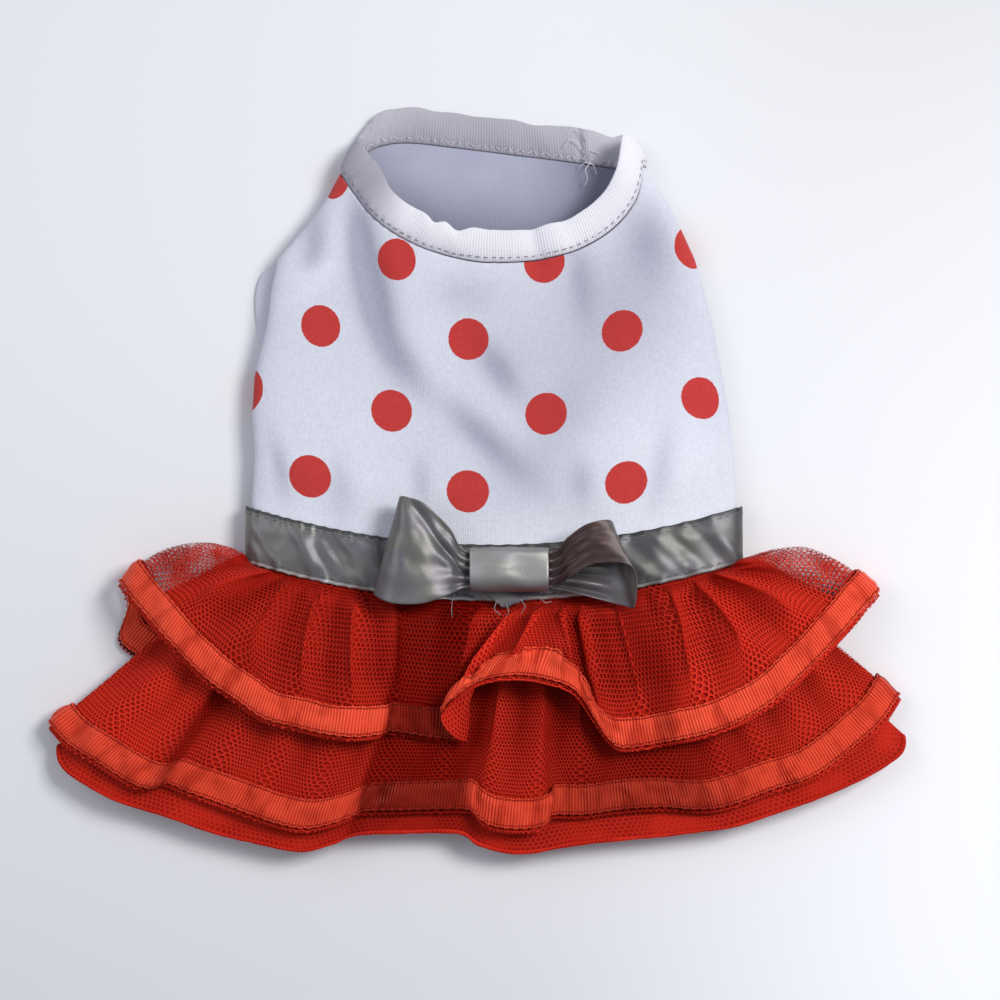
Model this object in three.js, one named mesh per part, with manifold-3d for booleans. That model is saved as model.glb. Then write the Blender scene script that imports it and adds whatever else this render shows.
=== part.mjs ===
// A small dog's dress, laid out on a table with its back panel upwards: a sleeveless
// jersey bodice with a ribbed neck binding and two ribbed leg bindings, a satin waistband
// with a ribbon bow, and two gathered net ruffles over a net underskirt, each ruffle
// edged with a grosgrain ribbon. Millimetres, X across the dress, Y from hem to neck,
// Z up from the table.
import * as THREE from 'three';
import { mergeVertices } from 'three/addons/utils/BufferGeometryUtils.js';
import Module from 'manifold-3d';

const wasm = await Module();
wasm.setup();

// Sizes of the dress as it lies
const waistWidth = 168;          // flat width over the waistband
const waistHeight = 17;          // table to the top of the waistband
const waistSag = 13.3;           // how far the waist seam dips at the middle
const waistbandLength = 19;      // width of the satin ribbon
const bodiceLength = 115;        // waist seam to the shoulder, along the side folds
const bodiceHeight = 17;         // table to the top of the back panel
const foldHeight = 6;            // height of the side folds above the table
const neckbandLength = 11;       // width of the folded neck binding
const legbandLength = 6;         // width of the folded leg binding
const legHoleLength = 52;        // cut edge of a leg hole, along the dress
const legHoleWidth = 24;         // cut edge of a leg hole, across the dress
const skirtWidth = 293;          // widest spread of the underskirt hem
const skirtDrop = 115.6;         // waist seam's side ends to the lowest hem
const ruffleRise = 30;           // table to the highest ruffle crest
const ribbonLength = 10;         // width of the grosgrain ribbon
const fringeLength = 1.6;        // net left proud of the ribbon
const bowSpan = 89;              // tip to tip of the bow
const bowRibbonWidth = 38;       // height of the bow's loops at their tips
const bowRise = 11;              // how high the loops stand
const knotLength = 26;           // width of the ribbon wrapped round the bow
const knotHeight = 15.6;         // length of the wrap, along the dress
const tailWidth = 30;            // width of the frayed end under the knot
const tailDrop = 12.6;           // knot's centre to the frayed end's lowest point

// Cloth thicknesses and the clearance between neighbours
const jerseyWall = 1;
const bindingWall = 2;
const legbandWall = 1.6;
const satinWall = 1.4;
const netWall = 1;
const ribbonWall = 1;
const bowWall = 1;
const clearance = 0.35;

// Shapes of the flattened cross-sections
const crownPower = 3;            // the upper layer: rounded over the side folds
const flatPower = 8;             // the lower layer: flat on the table nearly to the folds
const flatShare = 1.04;          // makes the middle of the lower layer truly flat

// Sides of the bodice, from the waist seam (up 0) to the shoulder (up 1) and the nape:
// left and right as shares of the waist's half width.
const bodiceSides = [
  { up: 0.00, left: 1.000, right: 1.000 },
  { up: 0.15, left: 0.988, right: 0.992 },
  { up: 0.27, left: 1.000, right: 0.971 },
  { up: 0.38, left: 0.992, right: 0.946 },
  { up: 0.53, left: 0.942, right: 0.908 },
  { up: 0.65, left: 0.921, right: 0.867 },
  { up: 0.73, left: 0.896, right: 0.833 },
  { up: 0.81, left: 0.804, right: 0.783 },
  { up: 0.90, left: 0.704, right: 0.721 },
  { up: 1.00, left: 0.629, right: 0.633 },
  { up: 1.10, left: 0.600, right: 0.620 },
];

// Soft dents and folds of the back panel: place and size as shares of the bodice's length
// and half width, turn in degrees, depth as a share of the bodice's height.
const bodiceDents = [
  { across: -0.46, up: 0.66, wide: 0.10, long: 0.30, turn: 22, depth: 0.13 },
  { across: -0.72, up: 0.78, wide: 0.07, long: 0.14, turn: -25, depth: 0.16 },
  { across: 0.40, up: 0.58, wide: 0.14, long: 0.22, turn: 35, depth: 0.08 },
  { across: 0.02, up: 0.16, wide: 0.22, long: 0.12, turn: 80, depth: 0.07 },
  { across: -0.10, up: 0.50, wide: 0.16, long: 0.22, turn: 30, depth: -0.05 },
];

// The neck binding, once round from the left corner over the back panel: how far its
// folded edge lies inward, beyond and above the seam, as shares of its width.
const neckbandLean = [
  { round: 0.00, inward: 0.55, beyond: 1.05, lift: 0.15 },
  { round: 0.07, inward: 0.80, beyond: 0.70, lift: 0.25 },
  { round: 0.12, inward: 0.80, beyond: 0.62, lift: 0.30 },
  { round: 0.17, inward: 0.52, beyond: 0.88, lift: 0.32 },
  { round: 0.25, inward: 0.00, beyond: 1.00, lift: 0.32 },
  { round: 0.33, inward: 0.40, beyond: 0.97, lift: 0.32 },
  { round: 0.38, inward: 0.58, beyond: 0.88, lift: 0.30 },
  { round: 0.43, inward: 0.72, beyond: 0.75, lift: 0.25 },
  { round: 0.50, inward: 0.50, beyond: 1.00, lift: 0.15 },
  { round: 0.60, inward: 0.20, beyond: 1.10, lift: 0.00 },
  { round: 0.75, inward: 0.00, beyond: 1.08, lift: 0.00 },
  { round: 0.90, inward: 0.20, beyond: 1.10, lift: 0.00 },
];

// Hem of the upper ruffle, from the left side over the top to the right side: waist is
// the place across the waist that a column of net is gathered to, across and down are
// shares of the skirt's half width and drop, height is a share of the ruffle's rise.
const upperFront = [
  { waist: -1.00, across: -0.873, down: 0.206, height: 0.32 },
  { waist: -0.97, across: -0.815, down: 0.288, height: 0.52 },
  { waist: -0.92, across: -0.750, down: 0.388, height: 0.68 },
  { waist: -0.85, across: -0.660, down: 0.503, height: 0.74 },
  { waist: -0.78, across: -0.574, down: 0.579, height: 0.75 },
  { waist: -0.72, across: -0.519, down: 0.626, height: 0.75 },
  { waist: -0.65, across: -0.449, down: 0.650, height: 0.77 },
  { waist: -0.57, across: -0.380, down: 0.670, height: 0.79 },
  { waist: -0.49, across: -0.318, down: 0.679, height: 0.80 },
  { waist: -0.43, across: -0.262, down: 0.672, height: 0.72 },
  { waist: -0.39, across: -0.241, down: 0.662, height: 0.62 },
  { waist: -0.30, across: -0.190, down: 0.670, height: 0.57 },
  { waist: -0.17, across: -0.130, down: 0.682, height: 0.55 },
  { waist: -0.09, across: -0.088, down: 0.684, height: 0.55 },
  { waist: -0.04, across: -0.060, down: 0.683, height: 0.67 },
  { waist: 0.00, across: -0.084, down: 0.670, height: 0.80 },
  { waist: 0.04, across: -0.109, down: 0.640, height: 0.82 },
  { waist: 0.08, across: -0.118, down: 0.606, height: 0.87 },
  { waist: 0.11, across: -0.094, down: 0.574, height: 0.92 },
  { waist: 0.14, across: -0.053, down: 0.534, height: 0.95 },
  { waist: 0.18, across: -0.007, down: 0.512, height: 0.98 },
  { waist: 0.22, across: 0.056, down: 0.506, height: 1.00 },
  { waist: 0.26, across: 0.118, down: 0.518, height: 0.97 },
  { waist: 0.30, across: 0.178, down: 0.548, height: 0.88 },
  { waist: 0.34, across: 0.220, down: 0.622, height: 0.77 },
  { waist: 0.38, across: 0.259, down: 0.688, height: 0.70 },
  { waist: 0.43, across: 0.296, down: 0.710, height: 0.68 },
  { waist: 0.53, across: 0.384, down: 0.694, height: 0.70 },
  { waist: 0.63, across: 0.477, down: 0.670, height: 0.72 },
  { waist: 0.73, across: 0.569, down: 0.626, height: 0.72 },
  { waist: 0.81, across: 0.639, down: 0.570, height: 0.71 },
  { waist: 0.88, across: 0.708, down: 0.491, height: 0.68 },
  { waist: 0.94, across: 0.789, down: 0.388, height: 0.60 },
  { waist: 0.98, across: 0.847, down: 0.309, height: 0.46 },
  { waist: 1.00, across: 0.884, down: 0.262, height: 0.32 },
];

// Hem of the same ruffle's lower layer, from the right side back to the left.
const upperBack = [
  { waist: 0.99, across: 0.876, down: 0.285 },
  { waist: 0.91, across: 0.795, down: 0.400 },
  { waist: 0.80, across: 0.685, down: 0.530 },
  { waist: 0.65, across: 0.569, down: 0.612 },
  { waist: 0.43, across: 0.361, down: 0.645 },
  { waist: 0.20, across: 0.152, down: 0.620 },
  { waist: 0.00, across: -0.033, down: 0.650 },
  { waist: -0.20, across: -0.218, down: 0.620 },
  { waist: -0.45, across: -0.426, down: 0.640 },
  { waist: -0.67, across: -0.611, down: 0.585 },
  { waist: -0.82, across: -0.739, down: 0.512 },
  { waist: -0.91, across: -0.824, down: 0.447 },
  { waist: -0.97, across: -0.868, down: 0.395 },
  { waist: -0.99, across: -0.850, down: 0.300 },
];

// Hem of the lower ruffle, the same columns.
const lowerFront = [
  { waist: -1.00, across: -1.020, down: 0.644, height: 0.22 },
  { waist: -0.97, across: -0.977, down: 0.697, height: 0.36 },
  { waist: -0.92, across: -0.901, down: 0.753, height: 0.47 },
  { waist: -0.86, across: -0.831, down: 0.806, height: 0.52 },
  { waist: -0.82, across: -0.792, down: 0.824, height: 0.52 },
  { waist: -0.79, across: -0.766, down: 0.815, height: 0.47 },
  { waist: -0.75, across: -0.742, down: 0.813, height: 0.45 },
  { waist: -0.70, across: -0.699, down: 0.835, height: 0.48 },
  { waist: -0.62, across: -0.600, down: 0.879, height: 0.52 },
  { waist: -0.54, across: -0.514, down: 0.918, height: 0.55 },
  { waist: -0.46, across: -0.433, down: 0.941, height: 0.56 },
  { waist: -0.40, across: -0.366, down: 0.926, height: 0.55 },
  { waist: -0.35, across: -0.322, down: 0.905, height: 0.51 },
  { waist: -0.30, across: -0.298, down: 0.894, height: 0.47 },
  { waist: -0.20, across: -0.211, down: 0.891, height: 0.46 },
  { waist: -0.10, across: -0.125, down: 0.888, height: 0.46 },
  { waist: -0.01, across: -0.062, down: 0.888, height: 0.46 },
  { waist: 0.02, across: -0.045, down: 0.895, height: 0.50 },
  { waist: 0.05, across: -0.034, down: 0.912, height: 0.55 },
  { waist: 0.09, across: -0.010, down: 0.931, height: 0.59 },
  { waist: 0.15, across: 0.030, down: 0.941, height: 0.60 },
  { waist: 0.20, across: 0.083, down: 0.941, height: 0.60 },
  { waist: 0.24, across: 0.113, down: 0.930, height: 0.56 },
  { waist: 0.28, across: 0.132, down: 0.904, height: 0.50 },
  { waist: 0.35, across: 0.206, down: 0.903, height: 0.47 },
  { waist: 0.43, across: 0.294, down: 0.888, height: 0.46 },
  { waist: 0.52, across: 0.384, down: 0.882, height: 0.47 },
  { waist: 0.61, across: 0.477, down: 0.888, height: 0.48 },
  { waist: 0.68, across: 0.539, down: 0.874, height: 0.48 },
  { waist: 0.77, across: 0.639, down: 0.829, height: 0.47 },
  { waist: 0.86, across: 0.738, down: 0.785, height: 0.46 },
  { waist: 0.93, across: 0.840, down: 0.688, height: 0.40 },
  { waist: 0.97, across: 0.893, down: 0.629, height: 0.32 },
  { waist: 1.00, across: 0.933, down: 0.562, height: 0.23 },
];
const lowerBack = [
  { waist: 0.99, across: 0.925, down: 0.590 },
  { waist: 0.92, across: 0.847, down: 0.728 },
  { waist: 0.80, across: 0.738, down: 0.800 },
  { waist: 0.62, across: 0.569, down: 0.850 },
  { waist: 0.42, across: 0.361, down: 0.868 },
  { waist: 0.20, across: 0.152, down: 0.880 },
  { waist: 0.00, across: -0.033, down: 0.868 },
  { waist: -0.20, across: -0.218, down: 0.868 },
  { waist: -0.42, across: -0.403, down: 0.900 },
  { waist: -0.62, across: -0.588, down: 0.865 },
  { waist: -0.80, across: -0.750, down: 0.800 },
  { waist: -0.92, across: -0.885, down: 0.740 },
  { waist: -0.99, across: -1.008, down: 0.668 },
];

// Hem of the underskirt, the same columns.
const underFront = [
  { waist: -1.00, across: -0.996, down: 0.690, height: 0.17 },
  { waist: -0.97, across: -0.988, down: 0.745, height: 0.26 },
  { waist: -0.91, across: -0.950, down: 0.785, height: 0.34 },
  { waist: -0.83, across: -0.861, down: 0.847, height: 0.38 },
  { waist: -0.74, across: -0.750, down: 0.891, height: 0.37 },
  { waist: -0.64, across: -0.635, down: 0.941, height: 0.37 },
  { waist: -0.55, across: -0.537, down: 0.970, height: 0.38 },
  { waist: -0.46, across: -0.438, down: 0.993, height: 0.39 },
  { waist: -0.38, across: -0.366, down: 0.973, height: 0.38 },
  { waist: -0.30, across: -0.310, down: 0.947, height: 0.37 },
  { waist: -0.18, across: -0.211, down: 0.941, height: 0.37 },
  { waist: -0.03, across: -0.082, down: 0.941, height: 0.37 },
  { waist: 0.03, across: -0.036, down: 0.974, height: 0.38 },
  { waist: 0.08, across: 0.028, down: 0.996, height: 0.39 },
  { waist: 0.14, across: 0.088, down: 0.996, height: 0.39 },
  { waist: 0.22, across: 0.162, down: 0.979, height: 0.38 },
  { waist: 0.31, across: 0.250, down: 0.965, height: 0.37 },
  { waist: 0.43, across: 0.384, down: 0.950, height: 0.37 },
  { waist: 0.52, across: 0.477, down: 0.935, height: 0.37 },
  { waist: 0.60, across: 0.540, down: 0.924, height: 0.37 },
  { waist: 0.68, across: 0.639, down: 0.885, height: 0.37 },
  { waist: 0.77, across: 0.738, down: 0.841, height: 0.37 },
  { waist: 0.87, across: 0.840, down: 0.785, height: 0.35 },
  { waist: 0.96, across: 0.925, down: 0.718, height: 0.27 },
  { waist: 1.00, across: 0.935, down: 0.660, height: 0.17 },
];
const underBack = [
  { waist: 0.97, across: 0.905, down: 0.712 },
  { waist: 0.87, across: 0.806, down: 0.800 },
  { waist: 0.68, across: 0.620, down: 0.880 },
  { waist: 0.45, across: 0.389, down: 0.925 },
  { waist: 0.20, across: 0.157, down: 0.960 },
  { waist: 0.00, across: -0.028, down: 0.930 },
  { waist: -0.20, across: -0.213, down: 0.925 },
  { waist: -0.45, across: -0.421, down: 0.965 },
  { waist: -0.68, across: -0.640, down: 0.915 },
  { waist: -0.87, across: -0.870, down: 0.820 },
  { waist: -0.97, across: -0.970, down: 0.738 },
];

// The bow's ribbon, once round from the knot over the left loop and back over the right
// one. Places across and along the dress are shares of the bow's half span and half
// ribbon width from the knot's centre; lift is a share of the loops' rise.
const bowCourse = [
  { topAcross: 0.00, top: 0.24, lowAcross: 0.00, low: -0.24, lift: 0.45 },
  { topAcross: -0.32, top: 0.26, lowAcross: -0.32, low: -0.26, lift: 0.46 },
  { topAcross: -0.44, top: 0.72, lowAcross: -0.46, low: -0.44, lift: 0.72 },
  { topAcross: -0.62, top: 1.18, lowAcross: -0.66, low: -0.60, lift: 0.94 },
  { topAcross: -0.76, top: 1.37, lowAcross: -0.88, low: -0.58, lift: 0.92 },
  { topAcross: -0.81, top: 1.38, lowAcross: -1.00, low: -0.43, lift: 0.55 },
  { topAcross: -0.76, top: 1.30, lowAcross: -0.92, low: -0.50, lift: 0.20 },
  { topAcross: -0.50, top: 0.80, lowAcross: -0.54, low: -0.46, lift: 0.12 },
  { topAcross: -0.32, top: 0.26, lowAcross: -0.32, low: -0.26, lift: 0.16 },
  { topAcross: 0.00, top: 0.24, lowAcross: 0.00, low: -0.24, lift: 0.16 },
  { topAcross: 0.32, top: 0.26, lowAcross: 0.32, low: -0.26, lift: 0.16 },
  { topAcross: 0.50, top: 0.56, lowAcross: 0.52, low: -0.42, lift: 0.12 },
  { topAcross: 0.72, top: 0.90, lowAcross: 0.86, low: -0.60, lift: 0.20 },
  { topAcross: 0.78, top: 0.92, lowAcross: 0.97, low: -0.62, lift: 0.52 },
  { topAcross: 0.73, top: 0.94, lowAcross: 0.88, low: -0.64, lift: 0.86 },
  { topAcross: 0.58, top: 0.84, lowAcross: 0.64, low: -0.56, lift: 0.94 },
  { topAcross: 0.44, top: 0.56, lowAcross: 0.46, low: -0.40, lift: 0.72 },
  { topAcross: 0.32, top: 0.26, lowAcross: 0.32, low: -0.26, lift: 0.46 },
];

// Colours of the cloths
const jersey = cloth(0xf1f0f6, 0.9);
const rib = cloth(0xdcd8e0, 0.9);
const satin = cloth(0x84857f, 0.35);
const net = cloth(0xc8201a, 0.85);
const grosgrain = cloth(0xe8341f, 0.55);

function cloth(color, roughness) {
  return new THREE.MeshStandardMaterial({ color, roughness, metalness: 0 });
}

// Reads a column of a table at a fractional row, smoothly, past the end from the start.
function readRound(rows, column, at) {
  const count = rows.length;
  const first = Math.floor(at);
  const f = at - first;
  const [a, b, c, d] = [-1, 0, 1, 2].map((k) => rows[(first + k + count) % count][column]);
  return b + 0.5 * f * (c - a + f * (2 * a - 5 * b + 4 * c - d + f * (3 * (b - c) + d - a)));
}

// Reads a column of a table at a value of its key column, in straight stretches.
function readAt(rows, key, column, value) {
  const next = Math.max(1, rows.findIndex((row) => row[key] >= value));
  const [a, b] = value >= rows.at(-1)[key] ? [rows.at(-2), rows.at(-1)] : [rows[next - 1], rows[next]];
  const f = Math.min(Math.max((value - a[key]) / (b[key] - a[key]), 0), 1);
  return THREE.MathUtils.lerp(a[column], b[column], f);
}

// The share across (-1 left, 1 right) of a place round the dress, and whether it is on
// the upper layer. Round runs from the left fold over the top, 0 to 1.
function placeRound(round) {
  const angle = 2 * Math.PI * round;
  return { across: -Math.cos(angle), isTop: Math.sin(angle) >= 0 };
}

function roundOf(across, isTop) {
  const angle = Math.acos(-across) / (2 * Math.PI);
  return isTop ? angle : 1 - angle;
}

// How far a layer stands from the side folds towards its full height, 0 to 1.
function fullness(across, isTop) {
  const power = isTop ? crownPower : flatPower;
  const share = Math.pow(1 - Math.min(Math.abs(across), 1) ** power, 1 / power);
  return isTop ? share : Math.min(1, share * flatShare);
}

// A point of the flattened waist, inset from the waistband's outer face.
function waistPoint(round, inset, y) {
  const { across, isTop } = placeRound(round);
  const far = isTop ? waistHeight - inset : inset;
  const z = foldHeight + (far - foldHeight) * fullness(across, isTop);
  return new THREE.Vector3(across * (waistWidth / 2 - inset), y, z);
}

// The waist seam dips towards the middle of the dress.
function waistSeam(across) {
  return -waistSag * (1 - across * across);
}

// A cloth wall of even thickness round a grid of points: grid[i][j], closed over i.
function clothWall(grid, wall) {
  const count = grid.length;
  const width = grid[0].length;
  const outer = [];
  const inner = [];
  grid.forEach((column, i) => {
    const before = grid[(i + count - 1) % count];
    const after = grid[(i + 1) % count];
    column.forEach((point, j) => {
      const along = after[j].clone().sub(before[j]);
      const over = column[Math.min(j + 1, width - 1)].clone().sub(column[Math.max(j - 1, 0)]);
      const normal = along.cross(over).normalize().multiplyScalar(wall / 2);
      outer.push(point.clone().add(normal));
      inner.push(point.clone().sub(normal));
    });
  });
  const faces = [];
  const shift = count * width;
  const quad = (a, b, c, d) => faces.push(a, b, c, a, c, d);
  for (let i = 0; i < count; i += 1) {
    const here = i * width;
    const next = ((i + 1) % count) * width;
    for (let j = 0; j < width - 1; j += 1) {
      quad(here + j, next + j, next + j + 1, here + j + 1);
      quad(shift + here + j, shift + here + j + 1, shift + next + j + 1, shift + next + j);
    }
    const end = width - 1;
    quad(here, shift + here, shift + next, next);
    quad(here + end, next + end, shift + next + end, shift + here + end);
  }
  const geometry = new THREE.BufferGeometry().setFromPoints([...outer, ...inner]);
  geometry.setIndex(signedVolume([...outer, ...inner], faces) < 0 ? faces.reverse() : faces);
  return geometry;
}

function signedVolume(points, faces) {
  let volume = 0;
  for (let k = 0; k < faces.length; k += 3) {
    const [a, b, c] = [points[faces[k]], points[faces[k + 1]], points[faces[k + 2]]];
    volume += a.dot(b.clone().cross(c)) / 6;
  }
  return volume;
}

function solidOf(geometry) {
  const plain = geometry.clone();
  plain.deleteAttribute('normal');
  plain.deleteAttribute('uv');
  const merged = mergeVertices(plain);
  return new wasm.Manifold(new wasm.Mesh({
    numProp: 3,
    vertProperties: merged.attributes.position.array,
    triVerts: new Uint32Array(merged.index.array),
  }));
}

function geometryOf(solid) {
  const mesh = solid.getMesh();
  const geometry = new THREE.BufferGeometry();
  geometry.setAttribute('position', new THREE.BufferAttribute(mesh.vertProperties, 3));
  geometry.setIndex(new THREE.BufferAttribute(mesh.triVerts, 1));
  return geometry;
}

// Bodice: a jersey tube from inside the waistband to the neck seam
const bodiceInset = satinWall + clearance + jerseyWall / 2;
const bodiceUnderBand = 0.45 * waistbandLength;
const bodiceColumns = 56;
const bodiceRows = [0, 0.1, 0.22, 0.34, 0.46, 0.58, 0.69, 0.79, 0.87, 0.94, 1];

// The neck seam: low over the back panel, high at the nape.
function neckSeam(across, isTop) {
  const depth = Math.abs(across + 0.03) ** (across < 0 ? 1.75 : 2.1);
  return bodiceLength * (isTop ? 0.74 + 0.26 * Math.min(depth, 1) : 1 + 0.085 * (1 - across ** 2));
}

function dentAt(x, y) {
  return bodiceDents.reduce((sum, dent) => {
    const turn = THREE.MathUtils.degToRad(dent.turn);
    const dx = x / (waistWidth / 2) - dent.across;
    const dy = y / bodiceLength - dent.up;
    const wide = (dx * Math.cos(turn) + dy * Math.sin(turn)) / dent.wide;
    const long = (dy * Math.cos(turn) - dx * Math.sin(turn)) / dent.long;
    return sum + dent.depth * bodiceHeight * Math.exp(-wide * wide - long * long);
  }, 0);
}

function bodicePoint(round, share) {
  const { across, isTop } = placeRound(round);
  const low = waistSeam(across) - bodiceUnderBand;
  const y = THREE.MathUtils.lerp(low, neckSeam(across, isTop), share);
  const up = Math.max(y / bodiceLength, 0);
  const side = across < 0 ? 'left' : 'right';
  const x = across * (waistWidth / 2 - bodiceInset) * readAt(bodiceSides, 'up', side, up);
  const clear = THREE.MathUtils.smoothstep(y - waistSeam(across), 4 * clearance, waistbandLength);
  const bottom = THREE.MathUtils.lerp(bodiceInset, jerseyWall / 2, clear);
  const top = THREE.MathUtils.lerp(waistHeight - bodiceInset, bodiceHeight - jerseyWall / 2, clear);
  const far = isTop ? top - clear * dentAt(x, y) : bottom;
  return new THREE.Vector3(x, y, foldHeight + (far - foldHeight) * fullness(across, isTop));
}

// Leg holes: cut through the belly panel beside the side folds. On the left the binding
// spreads past the fold and rises to it; on the right it stays under the dress. The
// insets and the spread are shares of the binding's width; ease is how far the panel's
// cut stands off the binding.
const legPlace = 0.55 * bodiceLength;
const legCorner = 2.6;
const legHoles = {
  left: {
    x: legHoleWidth / 2 - 0.458 * waistWidth, turn: 8, sideInset: 0.25, spread: -0.92, ease: 1.2,
  },
  right: {
    x: 0.44 * waistWidth - 1.1 * legHoleWidth, turn: -6, sideInset: 0.9, spread: 0, ease: clearance,
  },
};

// A leg hole's outline: a rounded slot, shrunk at its sides and ends and moved across.
function legOutline(hole, angle, sideInset, endInset, shift) {
  const reach = (value) => Math.sign(value) * Math.abs(value) ** (2 / legCorner);
  const x = (legHoleWidth / 2 - sideInset) * reach(Math.cos(angle));
  const y = (legHoleLength / 2 - endInset) * reach(Math.sin(angle));
  const turn = THREE.MathUtils.degToRad(hole.turn);
  return {
    x: hole.x + shift + x * Math.cos(turn) - y * Math.sin(turn),
    y: legPlace + x * Math.sin(turn) + y * Math.cos(turn),
  };
}

// What the binding takes from the belly panel: the hole itself and the binding's rim.
function legCutter(hole) {
  const points = 28;
  const prisms = [0, legbandLength].map((far) => {
    const outline = Array.from({ length: points }, (_, i) => {
      const { x, y } = legOutline(hole, 2 * Math.PI * i / points,
        far * hole.sideInset - hole.ease, far - hole.ease, far * hole.spread);
      return new THREE.Vector2(x, y);
    });
    const prism = new THREE.ExtrudeGeometry(new THREE.Shape(outline), {
      depth: foldHeight - clearance + jerseyWall,
      bevelEnabled: false,
    });
    return solidOf(prism.translate(0, 0, -jerseyWall));
  });
  return prisms[0].add(prisms[1]);
}

function makeBodice() {
  const grid = Array.from({ length: bodiceColumns }, (_, i) => (
    bodiceRows.map((share) => bodicePoint(i / bodiceColumns, share))));
  const tube = solidOf(clothWall(grid, jerseyWall));
  return geometryOf(tube.subtract(legCutter(legHoles.left)).subtract(legCutter(legHoles.right)));
}

function makeLegBinding(hole) {
  const columns = 28;
  const grid = Array.from({ length: columns }, (_, i) => {
    const angle = 2 * Math.PI * i / columns;
    const outward = hole.spread < 0 ? Math.sqrt(Math.max(0, -Math.cos(angle))) : 0;
    return [0, 0.5, 1].map((share) => {
      const far = share * legbandLength;
      const { x, y } = legOutline(hole, angle, far * hole.sideInset, far, far * hole.spread);
      const rise = outward * (1 - share) * (foldHeight - legbandWall - 3 * clearance);
      return new THREE.Vector3(x, y, legbandWall / 2 + rise);
    });
  });
  return clothWall(grid, legbandWall);
}

// Neck binding: a folded rib strip standing on the neck seam
function makeNeckBinding() {
  const columns = 48;
  const grid = Array.from({ length: columns }, (_, i) => {
    const round = i / columns;
    const { across } = placeRound(round);
    const seam = bodicePoint(round, 1);
    const read = (column) => neckbandLength * readAt(
      [...neckbandLean, { ...neckbandLean[0], round: 1 }], 'round', column, round);
    const lean = new THREE.Vector3(-Math.sign(across) * read('inward'), read('beyond'), read('lift'));
    const start = (clearance + jerseyWall / 4) / lean.length();
    return [start, (1 + start) / 2, 1].map((share) => {
      const point = seam.clone().addScaledVector(lean, share);
      point.z = Math.max(point.z, bindingWall / 2);
      return point;
    });
  });
  return clothWall(grid, bindingWall);
}

// Waistband: the satin ribbon round the waist seam
function makeWaistband() {
  const columns = 56;
  const grid = Array.from({ length: columns }, (_, i) => {
    const { across } = placeRound(i / columns);
    return [0, 0.5, 1].map((share) => (
      waistPoint(i / columns, satinWall / 2, waistSeam(across) - share * waistbandLength)));
  });
  return clothWall(grid, satinWall);
}

// A gathered tier: its columns run from under the waistband to the hem. order counts the
// net layers from the waistband inwards, floor is its height on the table under the skirt
// and hemFloor the same at the hem.
const netStep = netWall + clearance;
const ribbonStand = netWall / 2 + clearance + ribbonWall / 2;
const ribbonedFloor = netWall / 2 + clearance + ribbonWall;
const underBandShare = 0.56;     // where the nets start, down the waistband
const upperTier = {
  front: upperFront, back: upperBack, order: 0, puff: 3, spring: 14,
  floor: ribbonedFloor, shares: [0.18, 0.42, 0.66],
};
const lowerTier = {
  front: lowerFront, back: lowerBack, order: 1, puff: 0, spring: 0,
  floor: ribbonedFloor, shares: [0.3, 0.6],
};
const underTier = {
  front: underFront, back: underBack, order: 2, puff: 0, spring: 0,
  floor: ribbonedFloor + netStep, shares: [0.4, 0.75],
};

// The tier's table rows once round, with their places round the waist.
function tierRows(tier) {
  const side = (rows, isTop) => rows.map((row) => (
    { height: 0, ...row, isTop, round: roundOf(row.waist, isTop) }));
  return [...side(tier.front, true), ...side(tier.back, false)];
}

// Hem point of a tier at a fractional table row.
function hemPoint(tier, rows, at) {
  const read = (column) => readRound(rows, column, at);
  const z = Math.max(read('height') * ruffleRise, tier.floor);
  return new THREE.Vector3(read('across') * skirtWidth / 2, -read('down') * skirtDrop, z);
}

// One column of a tier's mid-surface: two points under the waistband, the shares given,
// the ribbon's upper edge and the hem.
function tierColumn(tier, rows, at) {
  const count = rows.length;
  const whole = Math.floor(at);
  const [here, next] = [rows[whole % count], rows[(whole + 1) % count]];
  const nextRound = whole + 1 >= count ? 1 + next.round : next.round;
  const round = THREE.MathUtils.lerp(here.round, nextRound, at - whole) % 1;
  const { across, isTop } = placeRound(round);
  const inset = satinWall + clearance + netWall / 2 + tier.order * netStep;
  const start = waistPoint(round, inset, waistSeam(across) - underBandShare * waistbandLength);
  const exitDrop = waistbandLength + clearance + (tier.order + 0.6) * netStep;
  const exit = waistPoint(round, inset, waistSeam(across) - exitDrop);
  const hem = hemPoint(tier, rows, at);
  const long = exit.distanceTo(hem);
  const column = [start, exit];
  const ribbonTop = 1 - (ribbonLength + fringeLength) / long;
  for (const share of [...tier.shares, ribbonTop, 1]) {
    const f = share === ribbonTop || share === 1 ? share : share * ribbonTop;
    const point = exit.clone().lerp(hem, f);
    const arch = 4 * f * (1 - f);
    point.y += tier.spring * f * arch * across ** 4;
    if (isTop) point.z += tier.puff * arch;
    else point.z = layerFloor(tier, exit.z, f);
    column.push(point);
  }
  return column;
}

// Height of a tier's lower layer: at the waist its own, then lying on the tiers below it
// as far as they reach, and at the hem on the table.
function layerFloor(tier, waistZ, f) {
  const own = ribbonedFloor + tier.order * netStep;
  const settled = THREE.MathUtils.smoothstep(f, 0, 0.3);
  const dropped = THREE.MathUtils.smoothstep(f, 0.78, 0.95);
  const lying = THREE.MathUtils.lerp(waistZ, own, settled);
  return THREE.MathUtils.lerp(lying, tier.floor, dropped);
}

// The tier's grid: two columns a row over the top, one a row underneath.
function tierGrid(tier) {
  const rows = tierRows(tier);
  const places = [];
  const perRow = tier === underTier ? 1 : 2;
  rows.forEach((row, k) => {
    places.push(k);
    if (row.isTop && k < tier.front.length - 1 && perRow === 2) places.push(k + 0.5);
  });
  return places.map((at) => tierColumn(tier, rows, at));
}

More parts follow.
